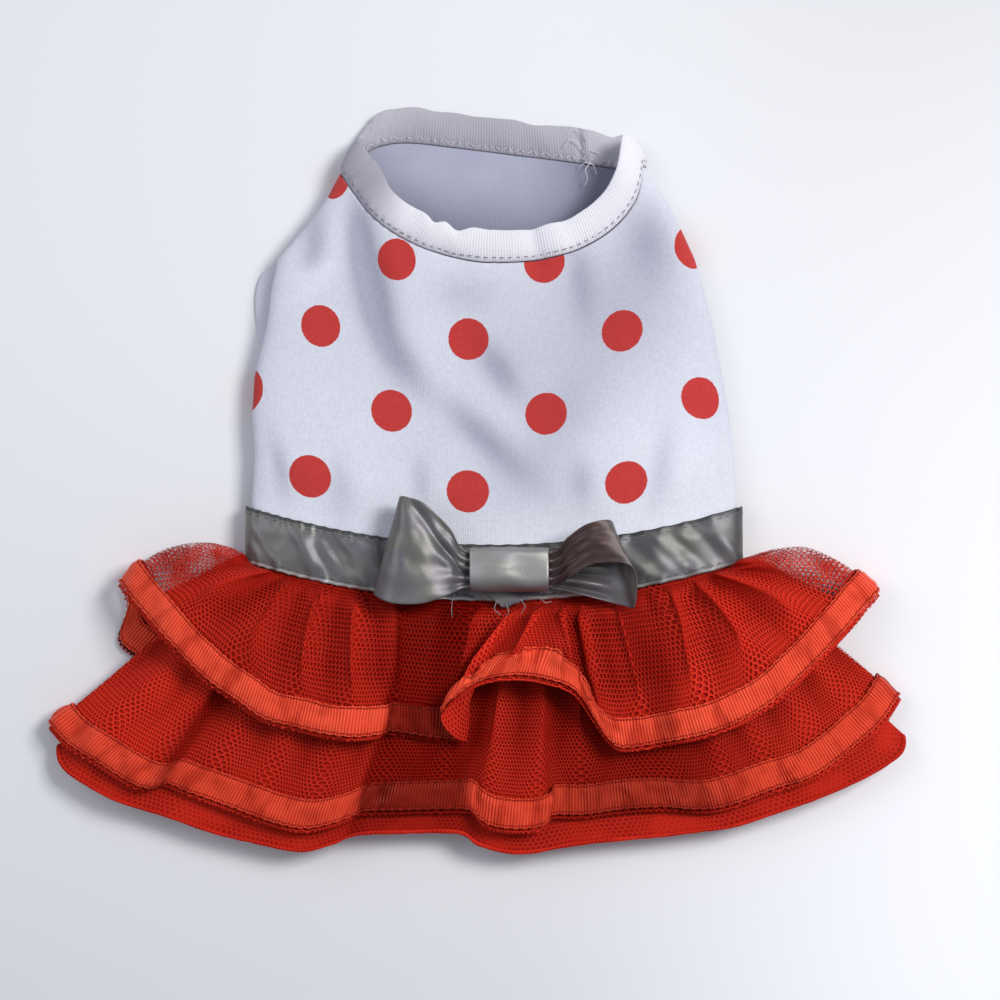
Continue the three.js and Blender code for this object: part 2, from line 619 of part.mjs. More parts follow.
// The ribbon sewn outside a tier's hem, on the net's own last two rows.
function ribbonGrid(grid) {
  const count = grid.length;
  return grid.map((column, i) => {
    const [top, hem] = column.slice(-2);
    const before = grid[(i + count - 1) % count].slice(-2);
    const after = grid[(i + 1) % count].slice(-2);
    const over = hem.clone().sub(top);
    const out = [0, 1].map((k) => over.clone().cross(after[k].clone().sub(before[k])).normalize());
    const end = 1 - fringeLength / over.length();
    return [
      top.clone().addScaledVector(out[0], ribbonStand),
      top.clone().lerp(hem, end).addScaledVector(out[0].clone().lerp(out[1], end).normalize(), ribbonStand),
    ];
  });
}

// Bow: one ribbon folded into two loops, held by a wrap, on a frayed end of the ribbon
const bowCentre = { x: 5, y: -22.1 };
const tailBase = waistHeight + clearance;
const knotBase = tailBase + bowWall + clearance;
const loopBase = knotBase + bowWall + clearance;

function makeBowLoops() {
  const stations = bowCourse.length * 2;
  const lowest = 0.12 * bowRise;
  const grid = Array.from({ length: stations }, (_, i) => {
    const read = (column) => readRound(bowCourse, column, i / 2);
    const z = loopBase + bowWall / 2 + read('lift') * bowRise - lowest;
    return [0, 0.34, 0.67, 1].map((share) => new THREE.Vector3(
      bowCentre.x + THREE.MathUtils.lerp(read('lowAcross'), read('topAcross'), share) * bowSpan / 2,
      bowCentre.y + THREE.MathUtils.lerp(read('low'), read('top'), share) * bowRibbonWidth / 2,
      z));
  });
  return clothWall(grid, bowWall);
}

function makeBowKnot() {
  const columns = 20;
  const halfHigh = 0.5 * (0.46 * bowRise + 2 * bowWall + 2 * clearance + bowWall);
  const corner = 2.6;
  const reach = (value) => Math.sign(value) * Math.abs(value) ** (2 / corner);
  const grid = Array.from({ length: columns }, (_, i) => {
    const angle = 2 * Math.PI * i / columns;
    const y = bowCentre.y + reach(Math.cos(angle)) * (knotHeight - bowWall) / 2;
    const z = knotBase + bowWall / 2 + halfHigh * (1 + reach(Math.sin(angle)));
    return [-0.5, 0, 0.5].map((share) => new THREE.Vector3(bowCentre.x + share * knotLength, y, z));
  });
  return clothWall(grid, bowWall);
}

// The frayed ribbon end: a crumpled strip under the knot, cut ragged at its lower edge.
const tailEdge = [
  { across: -0.50, low: 0.55, crumple: 0.0 },
  { across: -0.36, low: 0.75, crumple: 0.6 },
  { across: -0.20, low: 0.72, crumple: 0.1 },
  { across: -0.06, low: 1.00, crumple: 0.8 },
  { across: 0.10, low: 0.86, crumple: 0.2 },
  { across: 0.28, low: 0.62, crumple: 0.5 },
  { across: 0.50, low: 0.58, crumple: 0.0 },
];

function makeBowTail() {
  const points = [];
  const top = bowCentre.y + knotHeight / 4;
  for (const base of [0, bowWall]) {
    for (const row of tailEdge) {
      const x = bowCentre.x + row.across * tailWidth;
      const low = bowCentre.y - row.low * tailDrop;
      points.push(new THREE.Vector3(x, top, tailBase + base));
      points.push(new THREE.Vector3(x, low, tailBase + base + 0.3 * row.crumple));
    }
  }
  const faces = [];
  const shift = 2 * tailEdge.length;
  const quad = (a, b, c, d) => faces.push(a, b, c, a, c, d);
  for (let i = 0; i < tailEdge.length - 1; i += 1) {
    const k = 2 * i;
    quad(k, k + 2, k + 3, k + 1);
    quad(shift + k, shift + k + 1, shift + k + 3, shift + k + 2);
    quad(k, shift + k, shift + k + 2, k + 2);
    quad(k + 1, k + 3, shift + k + 3, shift + k + 1);
  }
  const end = shift - 2;
  quad(0, 1, shift + 1, shift);
  quad(end, shift + end, shift + end + 1, end + 1);
  const geometry = new THREE.BufferGeometry().setFromPoints(points);
  geometry.setIndex(signedVolume(points, faces) < 0 ? faces.reverse() : faces);
  return geometry;
}

const upperNet = tierGrid(upperTier);
const lowerNet = tierGrid(lowerTier);
const pieces = [
  ['bodice', makeBodice(), jersey],
  ['neck_binding', makeNeckBinding(), rib],
  ['leg_binding_left', makeLegBinding(legHoles.left), rib],
  ['leg_binding_right', makeLegBinding(legHoles.right), rib],
  ['waistband', makeWaistband(), satin],
  ['upper_ruffle', clothWall(upperNet, netWall), net],
  ['upper_ribbon', clothWall(ribbonGrid(upperNet), ribbonWall), grosgrain],
  ['lower_ruffle', clothWall(lowerNet, netWall), net],
  ['lower_ribbon', clothWall(ribbonGrid(lowerNet), ribbonWall), grosgrain],
  ['underskirt', clothWall(tierGrid(underTier), netWall), net],
  ['bow_loops', makeBowLoops(), satin],
  ['bow_knot', makeBowKnot(), satin],
  ['bow_tail', makeBowTail(), satin],
];

// The origin is on the table, under the middle of the dress's outline.
const dress = new THREE.Group();
for (const [name, geometry, material] of pieces) {
  const mesh = new THREE.Mesh(geometry, material);
  mesh.name = name;
  dress.add(mesh);
}
const outline = new THREE.Box3().setFromObject(dress);
const middle = outline.getCenter(new THREE.Vector3());
for (const mesh of dress.children) mesh.position.set(-middle.x, -middle.y, -outline.min.z);

export default dress;
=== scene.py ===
import bpy
import numpy as np
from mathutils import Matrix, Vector


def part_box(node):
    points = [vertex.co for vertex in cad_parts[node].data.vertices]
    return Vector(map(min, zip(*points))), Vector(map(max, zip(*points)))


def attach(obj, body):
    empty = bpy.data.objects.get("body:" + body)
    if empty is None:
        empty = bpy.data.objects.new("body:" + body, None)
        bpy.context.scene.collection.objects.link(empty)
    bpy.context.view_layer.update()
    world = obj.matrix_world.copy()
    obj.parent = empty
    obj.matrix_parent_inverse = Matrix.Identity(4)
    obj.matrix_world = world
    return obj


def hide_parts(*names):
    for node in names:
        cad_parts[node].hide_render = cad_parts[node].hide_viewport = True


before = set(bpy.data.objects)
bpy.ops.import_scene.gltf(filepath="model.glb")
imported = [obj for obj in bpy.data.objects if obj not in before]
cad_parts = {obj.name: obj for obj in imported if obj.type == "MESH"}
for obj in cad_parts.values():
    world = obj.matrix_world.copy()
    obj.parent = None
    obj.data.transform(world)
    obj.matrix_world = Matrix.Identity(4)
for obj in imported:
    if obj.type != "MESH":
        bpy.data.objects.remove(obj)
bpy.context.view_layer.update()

# Bodice
# The white cotton jersey body of the dress, printed with red dots. It is a tube, cut low
# at the neck on the back panel that lies upwards, with a leg hole by each side fold of the
# belly panel, and its waist edge is sewn inside the satin waistband.
MM = 0.001
band_low, band_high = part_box("waistband")
dress_place = np.array([(band_low.x + band_high.x) / 2, band_high.y, 0])
waist_width = band_high.x - band_low.x
waist_height = band_high.z
waist_sag = 13.3 * MM
waistband_length = 19 * MM
fold_height = 6 * MM
bodice_length = 115 * MM
jersey_thick = 0.8 * MM
leg_hole_width, leg_hole_length = 24 * MM, 52 * MM
leg_hole_power = 2.6
leg_place = 0.55 * bodice_length

# How far the jersey lies inside the dress's faces, under the waistband and clear of it.
bodice_inset, free_inset = 2.25 * MM, 0.5 * MM

# Sides of the bodice: up the dress as a share of its length, and the reach of the left
# and right side folds as shares of the waist's half width.
bodice_sides = np.array([
    (0.00, 1.000, 1.000), (0.15, 0.988, 0.992), (0.27, 1.000, 0.971), (0.38, 0.992, 0.946),
    (0.53, 0.942, 0.908), (0.65, 0.921, 0.867), (0.73, 0.896, 0.833), (0.81, 0.804, 0.783),
    (0.90, 0.704, 0.721), (1.00, 0.629, 0.633), (1.10, 0.600, 0.620)])

# Dents and soft folds of the back panel: across, up, wide and long as shares of the half
# width and length, the turn in degrees, and the depth in millimetres, less than 0 for a rise.
bodice_dents = [
    (-0.49, 0.62, 0.070, 0.22, 19, 2.52), (-0.54, 0.82, 0.055, 0.12, 8, 1.44),
    (-0.36, 0.40, 0.050, 0.12, 42, 1.26), (0.01, 0.39, 0.050, 0.13, 47, 1.26),
    (-0.05, 0.19, 0.050, 0.18, 57, 1.62), (-0.13, 0.61, 0.140, 0.060, 0, 0.72),
    (0.34, 0.66, 0.050, 0.13, 10, 0.90), (0.62, 0.79, 0.10, 0.12, 20, 1.26),
    (0.27, 0.25, 0.12, 0.20, -50, 1.08), (-0.86, 0.10, 0.035, 0.10, 20, 1.26),
    (-0.73, 0.775, 0.050, 0.11, -12, 1.62), (-0.75, 0.655, 0.035, 0.09, -68, -1.08),
    (0.45, 0.60, 0.38, 0.24, 0, 1.08), (0.02, 0.44, 0.95, 0.26, 0, 0.54),
    (-0.62, 0.04, 0.05, 0.10, 10, 0.90), (-0.30, 0.06, 0.04, 0.07, 0, 0.90),
    (0.34, 0.05, 0.05, 0.07, 10, 1.08), (0.66, 0.10, 0.05, 0.12, -14, 0.90),
    (0.16, 0.74, 0.030, 0.06, 35, 1.08)]

# Wide parts of the panel with painted shade, where it turns a little from the light: across,
# up, wide and long in the same shares, and the amount of painted shade. A dent's own amount
# of painted shade is its depth as a share of shade_depth.
shade_depth = 2.3 * MM
bodice_dim = [
    (-0.48, 0.68, 0.16, 0.16, 0.22), (0.05, 0.40, 0.16, 0.12, 0.22), (0.60, 0.70, 0.22, 0.22, 0.20),
    (0.12, 0.06, 0.30, 0.10, 0.42), (-0.16, 0.20, 0.22, 0.12, 0.15), (0.95, 0.40, 0.10, 0.40, 0.20)]


def across_of(turn):
    """Share across the dress, -1 at the left fold and 1 at the right one, of a place round
    it: minus the cosine of the turn, which runs 0 to 1 from the left fold over the top."""
    return -np.cos(2 * np.pi * turn)


def is_top(turn):
    """Whether a place round the dress is on its upper layer: the first half turn is."""
    return np.sin(2 * np.pi * turn) >= 0


def fullness(turn):
    """How far a layer stands from the side folds to its full height: a superellipse, of
    power 3 above, and below of power 8 and cut off flat."""
    across = np.minimum(np.abs(across_of(turn)), 1)
    above = (1 - across ** 3) ** (1 / 3)
    below = np.minimum(1, 1.04 * (1 - across ** 8) ** (1 / 8))
    return np.where(is_top(turn), above, below)


def waist_seam(across):
    """Where the waist seam runs along the dress: it dips to the middle by a parabola."""
    return -waist_sag * (1 - across ** 2)


def ease(value, low, high):
    """A smooth step from 0 at low to 1 at high: 3 times the square less twice the cube."""
    share = np.clip((value - low) / (high - low), 0, 1)
    return share * share * (3 - 2 * share)


def neck_seam(turn):
    """The neck seam along the dress: a power of the share across on the back panel, which
    dips at its middle, and over the nape a low arch that leans to the left."""
    across = across_of(turn)
    depth = np.abs(across + 0.03) ** np.where(across < 0, 1.6, 2.5)
    front = 0.705 + 0.295 * np.minimum(depth, 1)
    nape = 1 + (0.058 - 0.055 * across) * (1 - across ** 6)
    return bodice_length * np.where(is_top(turn), front, nape)


def hump(value, middle, wide):
    """A bell-shaped hump: e to minus the square of the distance from its middle, in widths."""
    return np.exp(-((value - middle) / wide) ** 2)


def dents_at(x, y):
    """Depth of the panel's dents: for each row of the table a hump across times one along,
    both turned, as deep as the row says."""
    depth = np.zeros_like(x)
    for across, up, wide, long, turn, deep in bodice_dents:
        c, s = np.cos(np.radians(turn)), np.sin(np.radians(turn))
        dx, dy = x / (waist_width / 2) - across, y / bodice_length - up
        depth += deep * MM * hump(dx * c + dy * s, 0, wide) * hump(dy * c - dx * s, 0, long)
    return depth


def bodice_points(turn, share):
    """Point of the jersey: across by the side table, along from inside the waistband to
    the neck seam, and up by the section's fullness, less the dents and small wrinkles."""
    across, top = across_of(turn), is_top(turn)
    low = waist_seam(across) - 0.45 * waistband_length
    y = low + (neck_seam(turn) - low) * share
    up = np.clip(y / bodice_length, 0, 1.1)
    left = np.interp(up, bodice_sides[:, 0], bodice_sides[:, 1])
    right = np.interp(up, bodice_sides[:, 0], bodice_sides[:, 2])
    x = across * (waist_width / 2 - bodice_inset) * np.where(across < 0, left, right)
    clear = ease(y - waist_seam(across), 1.4 * MM, waistband_length)
    inset = bodice_inset + (free_inset - bodice_inset) * clear
    wrinkle = 0.20 * MM * (np.sin(x / 0.0061 + 2.2 * np.sin(y / 0.013))
                           + np.sin(y / 0.0083 + 1.7 * np.sin(x / 0.017 + 1)))
    far = np.where(top, waist_height - inset - clear * (dents_at(x, y) + wrinkle), inset)
    return np.stack([x, y, fold_height + (far - fold_height) * fullness(turn)], -1)


def signed_power(value, power):
    """The size of a value to a power, with the value's sign."""
    return np.sign(value) * np.abs(value) ** power


def leg_outline(hole, angle, side_inset, end_inset, shift):
    """A leg hole's outline: a superellipse, turned and moved across."""
    centre, turn = hole[0], np.radians(hole[1])
    x = (leg_hole_width / 2 - side_inset) * signed_power(np.cos(angle), 2 / leg_hole_power)
    y = (leg_hole_length / 2 - end_inset) * signed_power(np.sin(angle), 2 / leg_hole_power)
    return (centre + shift + x * np.cos(turn) - y * np.sin(turn),
            leg_place + x * np.sin(turn) + y * np.cos(turn))


def in_leg_hole(points, hole, grow):
    """Which points of the belly panel lie in a hole's superellipse, grown by a length."""
    turn = np.radians(hole[1])
    dx, dy = points[..., 0] - hole[0], points[..., 1] - leg_place
    x = np.abs(dx * np.cos(turn) + dy * np.sin(turn)) / (leg_hole_width / 2 + grow)
    y = np.abs(dy * np.cos(turn) - dx * np.sin(turn)) / (leg_hole_length / 2 + grow)
    inside = x ** leg_hole_power + y ** leg_hole_power < 1
    return inside & (points[..., 2] < fold_height - 0.3 * MM)


def cloth_mesh(name, points, uv, wraps, keep=None):
    """A mesh of quads between neighbours of a grid of points, closed over its first
    direction if it wraps. Faces look along the first direction's cross with the second.
    uv has one more row than points where it wraps. keep says which quads stay."""
    count, width = points.shape[:2]
    i, j = np.meshgrid(np.arange(count if wraps else count - 1), np.arange(width - 1), indexing="ij")
    nxt = (i + 1) % count
    quads = np.stack([i * width + j, nxt * width + j, nxt * width + j + 1, i * width + j + 1], -1)
    corners = np.stack([uv[i, j], uv[i + 1, j], uv[i + 1, j + 1], uv[i, j + 1]], -2)
    chosen = np.ones(i.shape, bool) if keep is None else keep
    quads, corners = quads[chosen], corners[chosen]
    mesh = bpy.data.meshes.new(name)
    places = (points.reshape(-1, 3) + dress_place).astype(np.float32)
    mesh.vertices.add(len(places))
    mesh.vertices.foreach_set("co", places.ravel())
    mesh.loops.add(quads.size)
    mesh.loops.foreach_set("vertex_index", quads.ravel().astype(np.int32))
    mesh.polygons.add(len(quads))
    mesh.polygons.foreach_set("loop_start", np.arange(0, quads.size, 4, dtype=np.int32))
    mesh.polygons.foreach_set("loop_total", np.full(len(quads), 4, dtype=np.int32))
    layer = mesh.uv_layers.new(name="cloth")
    layer.data.foreach_set("uv", corners.reshape(-1).astype(np.float32))
    mesh.update()
    mesh.validate()
    mesh.polygons.foreach_set("use_smooth", np.ones(len(mesh.polygons), bool))
    piece = bpy.data.objects.new(name, mesh)
    bpy.context.collection.objects.link(piece)
    return piece


def drop_loose(piece):
    """Deletes the vertices that no quad uses."""
    bpy.context.view_layer.objects.active = piece
    piece.select_set(True)
    bpy.ops.object.mode_set(mode="EDIT")
    bpy.ops.mesh.select_all(action="SELECT")
    bpy.ops.mesh.delete_loose()
    bpy.ops.object.mode_set(mode="OBJECT")
    piece.select_set(False)


def thicken(piece, thickness, offset, inner_material=0):
    """Gives a cloth its wall: behind the surface at offset -1, half on each side of it at 0
    and before it at 1. The wall's other face and rim may have a material of their own."""
    wall = piece.modifiers.new("wall", "SOLIDIFY")
    wall.thickness = thickness
    wall.offset = offset
    wall.use_even_offset = False
    wall.material_offset = inner_material
    wall.material_offset_rim = inner_material


class Nodes:
    """A material's node tree, with short calls that add a node and link its inputs."""

    def __init__(self, name):
        self.material = bpy.data.materials.new(name)
        self.material.use_nodes = True
        self.tree = self.material.node_tree
        self.shader = self.tree.nodes["Principled BSDF"]

    def add(self, kind, inputs=(), **settings):
        """A node, with each input linked if it is a socket and set if it is a constant."""
        node = self.tree.nodes.new(kind)
        for key, value in settings.items():
            setattr(node, key, value)
        for socket, value in dict(inputs).items():
            if isinstance(value, bpy.types.NodeSocket):
                self.tree.links.new(value, node.inputs[socket])
            else:
                node.inputs[socket].default_value = value
        return node

    def math(self, operation, *values):
        return self.add("ShaderNodeMath", dict(enumerate(values)), operation=operation).outputs[0]

    def vector(self, operation, *values, out=0):
        inputs = dict(enumerate(values))
        if operation == "SCALE":
            inputs = {0: values[0], "Scale": values[1]}
        return self.add("ShaderNodeVectorMath", inputs, operation=operation).outputs[out]

    def uv(self):
        return self.add("ShaderNodeUVMap", uv_map="cloth").outputs[0]

    def place(self):
        return self.add("ShaderNodeTexCoord").outputs["Object"]

    def shade(self):
        return self.add("ShaderNodeAttribute", attribute_name="shade").outputs["Fac"]

    def noise(self, vector, scale, detail=2.0, roughness=0.5):
        inputs = {"Vector": vector, "Scale": scale, "Detail": detail, "Roughness": roughness}
        return self.add("ShaderNodeTexNoise", inputs).outputs[0]

    def split(self, vector):
        return self.add("ShaderNodeSeparateXYZ", {0: vector}).outputs

    def join(self, x, y, z=0.0):
        return self.add("ShaderNodeCombineXYZ", {0: x, 1: y, 2: z}).outputs[0]

    def blend(self, share, first, second):
        """The first colour at share 0 and the second at 1."""
        node = self.add("ShaderNodeMix", data_type="RGBA")
        for socket, value in ((0, share), (6, first), (7, second)):
            if isinstance(value, bpy.types.NodeSocket):
                self.tree.links.new(value, node.inputs[socket])
            else:
                node.inputs[socket].default_value = value if socket == 0 else (*value, 1)[:4]
        return node.outputs[2]

    def ramp(self, value, low, high):
        """A smooth step from 0 at low to 1 at high, where low may be the larger."""
        return self.add("ShaderNodeMapRange", {0: value, 1: low, 2: high, 3: 0.0, 4: 1.0},
                        interpolation_type="SMOOTHSTEP").outputs[0]

    def bump(self, height, distance, strength=1.0, under=None):
        """A bumped normal, on top of another bump's if one is given."""
        inputs = {"Height": height, "Distance": distance, "Strength": strength}
        if under is not None:
            inputs["Normal"] = under
        return self.add("ShaderNodeBump", inputs).outputs[0]

    def finish(self, color, normal=None, **constants):
        """Sets the shader: colour and normal, and a constant for each named input."""
        if isinstance(color, bpy.types.NodeSocket):
            self.tree.links.new(color, self.shader.inputs["Base Color"])
        else:
            self.shader.inputs["Base Color"].default_value = (*color, 1)
        if normal is not None:
            self.tree.links.new(normal, self.shader.inputs["Normal"])
        for name, value in constants.items():
            self.shader.inputs[name.replace("_", " ")].default_value = value
        return self.material


def jersey_bump(n):
    """Jersey's bump: wales as a wave along the cloth's u, broken by noise, with fuzz and
    slow lumps on it."""
    u, v, _ = n.split(n.uv())
    fuzz = n.noise(n.uv(), 900.0, 4.0, 0.65)
    wander = n.math("MULTIPLY", n.noise(n.uv(), 160.0), 0.0006)
    wales = n.math("SINE", n.math("MULTIPLY", n.math("ADD", u, wander), 2 * np.pi / (0.8 * MM)))
    knit = n.math("MULTIPLY_ADD", wales, 0.22, n.math("MULTIPLY", fuzz, 1.3))
    return n.bump(n.math("ADD", knit, n.noise(n.uv(), 120.0, 3.0)), 0.22 * MM, 0.55)


def shade_points(piece, values):
    """Keeps a number for each vertex, which the materials read as the depth of painted shade."""
    kept = piece.data.attributes.new("shade", "FLOAT", "POINT")
    kept.data.foreach_set("value", np.ascontiguousarray(values, dtype=np.float32).ravel())


def jersey_plain():
    """The jersey's unprinted inner side: bluish white with faint clouding, painted darker than the outer
    side for the shade inside the dress, and darker still in painted shade.
    """
    n = Nodes("jersey inside")
    cloud = n.noise(n.place(), 38.0, 3.0)
    color = n.blend(cloud, (0.34, 0.345, 0.46), (0.50, 0.505, 0.62))
    # Painted shade from the mesh's shade.
    color = n.blend(n.shade(), color, (0.13, 0.13, 0.19))
    return n.finish(color, jersey_bump(n), Roughness=0.95, Specular_IOR_Level=0.15,
                    Sheen_Weight=0.12)


# The printed dots: two lattices of one pitch, the rows arched towards the sides and a little
# tilted, and the spacing closer towards the neck.
dot_radius = 7.05 * MM
dot_pitch = 52.8 * MM
dot_rows = 51.2 * MM
dot_start = (-8.7 * MM, 6.9 * MM)
dot_arch, dot_arch_reach = 4.0 * MM, 52 * MM
dot_fold_drop = 4.5 * MM


def jersey_printed():
    """The jersey's printed side. A dot's share is the distance to the nearest centre of
    either lattice, less the radius, with its edge broken by the knit. Where the panel has
    dropped by more than dot_fold_drop, 0.6 of the rest is added to the place across, which
    keeps a dot round on the way over a side fold."""
    n = Nodes("jersey printed")
    x, y, z = n.split(n.place())
    x = n.math("SUBTRACT", x, float(dress_place[0]) + dot_start[0])
    round_side = n.math("MAXIMUM", n.math("SUBTRACT", waist_height - dot_fold_drop, z), 0.0)
    x = n.math("MULTIPLY_ADD", n.math("SIGN", x), n.math("MULTIPLY", round_side, 0.6), x)
    y = n.math("SUBTRACT", y, float(dress_place[1]) + dot_start[1])
    arch = n.math("POWER", n.math("DIVIDE", x, dot_arch_reach), 2.0)
    arch = n.math("MINIMUM", n.math("MULTIPLY", arch, dot_arch), 1.9 * dot_arch)
    y = n.math("SUBTRACT", y, arch)
    y = n.math("ADD", y, n.math("MULTIPLY_ADD", x, 0.02, 2.6 * MM))
    closer = n.math("MULTIPLY_ADD", n.math("LESS_THAN", x, 0.0), 0.88, 0.42)
    x = n.math("MULTIPLY", x, n.math("MULTIPLY_ADD", y, closer, 1.0))
    spans = []
    for step in (0, 0.5):
        dx = n.math("WRAP", n.math("ADD", x, step * dot_pitch), dot_pitch / 2, -dot_pitch / 2)
        dy = n.math("WRAP", n.math("ADD", y, step * dot_rows), dot_rows / 2, -dot_rows / 2)
        spans.append(n.vector("LENGTH", n.join(dx, dy), out=1))
    span = n.math("MINIMUM", *spans)
    rough_edge = n.math("MULTIPLY", n.noise(n.place(), 1400.0, 3.0), 0.5 * MM)
    span = n.math("ADD", span, rough_edge)
    dot = n.ramp(span, dot_radius + 0.42 * MM, dot_radius + 0.12 * MM)
    cloud = n.noise(n.place(), 30.0, 3.0)
    white = n.blend(cloud, (0.71, 0.725, 0.82), (0.80, 0.82, 0.90))
    mottle = n.noise(n.place(), 700.0, 5.0, 0.72)
    white = n.blend(n.ramp(mottle, 0.35, 0.65), n.vector("SCALE", white, 0.92), white)
    red = n.blend(mottle, (0.48, 0.028, 0.026), (0.62, 0.062, 0.056))
    color = n.blend(dot, white, red)
    # Painted shade from the mesh's shade, half as strong on the dots.
    painted_shade = n.math("MULTIPLY", n.math("MULTIPLY_ADD", dot, -0.5, 1.0), n.shade())
    color = n.blend(painted_shade, color, n.vector("MULTIPLY", color, (0.52, 0.51, 0.57)))
    return n.finish(color, jersey_bump(n), Roughness=0.92,
                    Specular_IOR_Level=0.18, Sheen_Weight=0.15)



def running(steps):
    """The length run at each place: 0, then the sum of the steps up to it."""
    return np.concatenate([[0], np.cumsum(steps)])


# The left hole's binding spreads past the side fold; the right one stays under the dress.
# Each hole has its centre across, its turn in degrees, its binding's inset and spread.
left_hole = (leg_hole_width / 2 - 0.458 * waist_width, 8, 0.25, -0.92)
right_hole = (0.44 * waist_width - 1.1 * leg_hole_width, -6, 0.9, 0.0)

bodice_columns, bodice_lines = 320, 150
turns, shares = np.meshgrid(np.arange(bodice_columns + 1) / bodice_columns,
                            np.linspace(0, 1, bodice_lines), indexing="ij")
bodice_grid = bodice_points(turns, shares)
steps = np.linalg.norm(np.diff(bodice_points(turns[:, :1], 0.4 + 0 * turns[:, :1]), axis=0), axis=-1)
girth = running(steps[:, 0])
bodice_uv = np.stack([girth[:, None] + 0 * shares, bodice_grid[..., 1]], -1)
middles = (bodice_grid[:-1, :-1] + bodice_grid[1:, 1:]) / 2
open_leg = in_leg_hole(middles, left_hole, 0.2 * MM) | in_leg_hole(middles, right_hole, 0.2 * MM)
bodice = cloth_mesh("jersey_bodice", bodice_grid[:-1], bodice_uv, True, keep=~open_leg)
# Painted shade of the back panel: its dents, and the dim parts of the table above.
bodice_shade = dents_at(bodice_grid[..., 0], bodice_grid[..., 1]) / shade_depth
across, up = bodice_grid[..., 0] / (waist_width / 2), bodice_grid[..., 1] / bodice_length
for place, rise, wide, long, amount in bodice_dim:
    bodice_shade += amount * hump(across, place, wide) * hump(up, rise, long)

# Painted shade on the belly panel, seen through the neck: darker away from the seam and to the right.
inner = 0.75 * ease(1 - shares, 0.04, 0.26) + 0.6 * ease(across_of(turns), 0.15, 0.65)
bodice_shade = np.clip(np.where(is_top(turns), bodice_shade, inner), 0, 1)
shade_points(bodice, bodice_shade[:-1])
drop_loose(bodice)
bodice.data.materials.append(jersey_printed())
bodice.data.materials.append(jersey_plain())
thicken(bodice, jersey_thick, -1, inner_material=1)
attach(bodice, "root")
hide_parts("bodice")

# Neck binding
# A strip of white rib knit, folded over the neck's edge and sewn down. It stands on the
# neck seam and leans inwards at the corners.
neckband_length = 11 * MM
neckband_half = 1.05 * MM

# Lean of the folded edge, by the share once round: inwards, beyond the seam and up, as
# shares of the binding's width.
neck_lean = np.array([
    (0.00, 0.55, 1.05, 0.20), (0.07, 0.80, 0.70, 0.25), (0.12, 0.80, 0.62, 0.27),
    (0.17, 0.52, 0.88, 0.24), (0.25, 0.00, 1.03, 0.20), (0.33, 0.40, 0.97, 0.22),
    (0.38, 0.58, 0.88, 0.25), (0.43, 0.72, 0.75, 0.25), (0.50, 0.50, 1.00, 0.20),
    (0.60, 0.20, 1.08, 0.24), (0.75, 0.00, 1.05, 0.30), (0.90, 0.20, 1.08, 0.24),
    (1.00, 0.55, 1.05, 0.20)])


def soft_noise(u, v, size, seed):
    """Smooth random height from -1 to 1: seeded values on a lattice size apart, blended
    along both directions by the smooth step."""
    lattice = np.random.default_rng(seed).uniform(-1, 1, (64, 64))
    i, j = np.floor(u / size).astype(int), np.floor(v / size).astype(int)
    a, b = ease(u / size - i, 0, 1), ease(v / size - j, 0, 1)
    low = lattice[i % 64, j % 64] * (1 - a) + lattice[(i + 1) % 64, j % 64] * a
    high = lattice[i % 64, (j + 1) % 64] * (1 - a) + lattice[(i + 1) % 64, (j + 1) % 64] * a
    return low * (1 - b) + high * b


def unit(vectors):
    """The vectors at a length of 1."""
    return vectors / np.maximum(np.linalg.norm(vectors, axis=-1, keepdims=True), 1e-12)


def turning(points):
    """Direction of a closed grid along its first direction, by central differences."""
    return unit(np.roll(points, -1, axis=0) - np.roll(points, 1, axis=0))


def neck_points(turn, section):
    """The folded strip: along the lean by a flattened ring's cosine, and off it by its
    sine, thicker in the middle, with small puckers at the seam and a ridge at the join. It
    is pressed in at two places of the back panel, and nowhere lies below the table."""
    seam = bodice_points(turn, np.ones_like(turn))
    x, across, ones = seam[..., 0], across_of(turn), np.ones_like(turn)
    smooth = np.stack([sum(np.interp((turn + shift) % 1, neck_lean[:, 0], neck_lean[:, k])
                           for shift in np.linspace(-0.03, 0.03, 7)) / 7 for k in (1, 2, 3)], -1)
    lean = neckband_length * smooth * np.stack([-np.tanh(across * 9), ones, ones], -1)
    lean *= (1 + 0.09 * soft_noise(x, seam[..., 2], 7 * MM, 6) * (across > -0.9))[..., None]
    for pressed, wide in ((-23 * MM, 2.6 * MM), (-14 * MM, 3.4 * MM)):
        lean *= 1 - 0.16 * (hump(x, pressed, wide) * is_top(turn))[..., None]
    c, s = np.cos(2 * np.pi * section), np.sin(2 * np.pi * section)
    share = 0.5 - 0.5 * signed_power(c, 0.55)
    centre = seam + lean * (0.03 + 0.97 * share)[..., None]
    centre[..., 2] = np.maximum(centre[..., 2], neckband_half)
    normal = unit(np.cross(turning(seam), unit(lean)))
    reach = signed_power(s, 0.6) * neckband_half * (0.8 + 0.8 * np.sin(np.pi * share))
    pucker = 0.26 * MM * np.sin(2 * np.pi * x / (2.9 * MM)) * hump(share, 0.1, 0.12)
    wave = 0.6 * MM * soft_noise(x, seam[..., 2] + 9 * MM * share, 8 * MM, 5)
    join = (hump(x, 30 * MM, 1.1 * MM) - 0.8 * hump(x, 33 * MM, 1.6 * MM)) * ~is_top(turn)
    points = centre + normal * (reach + pucker + wave + 0.9 * MM * join)[..., None]
    points[..., 2] = np.maximum(points[..., 2], 0.3 * MM)
    return points


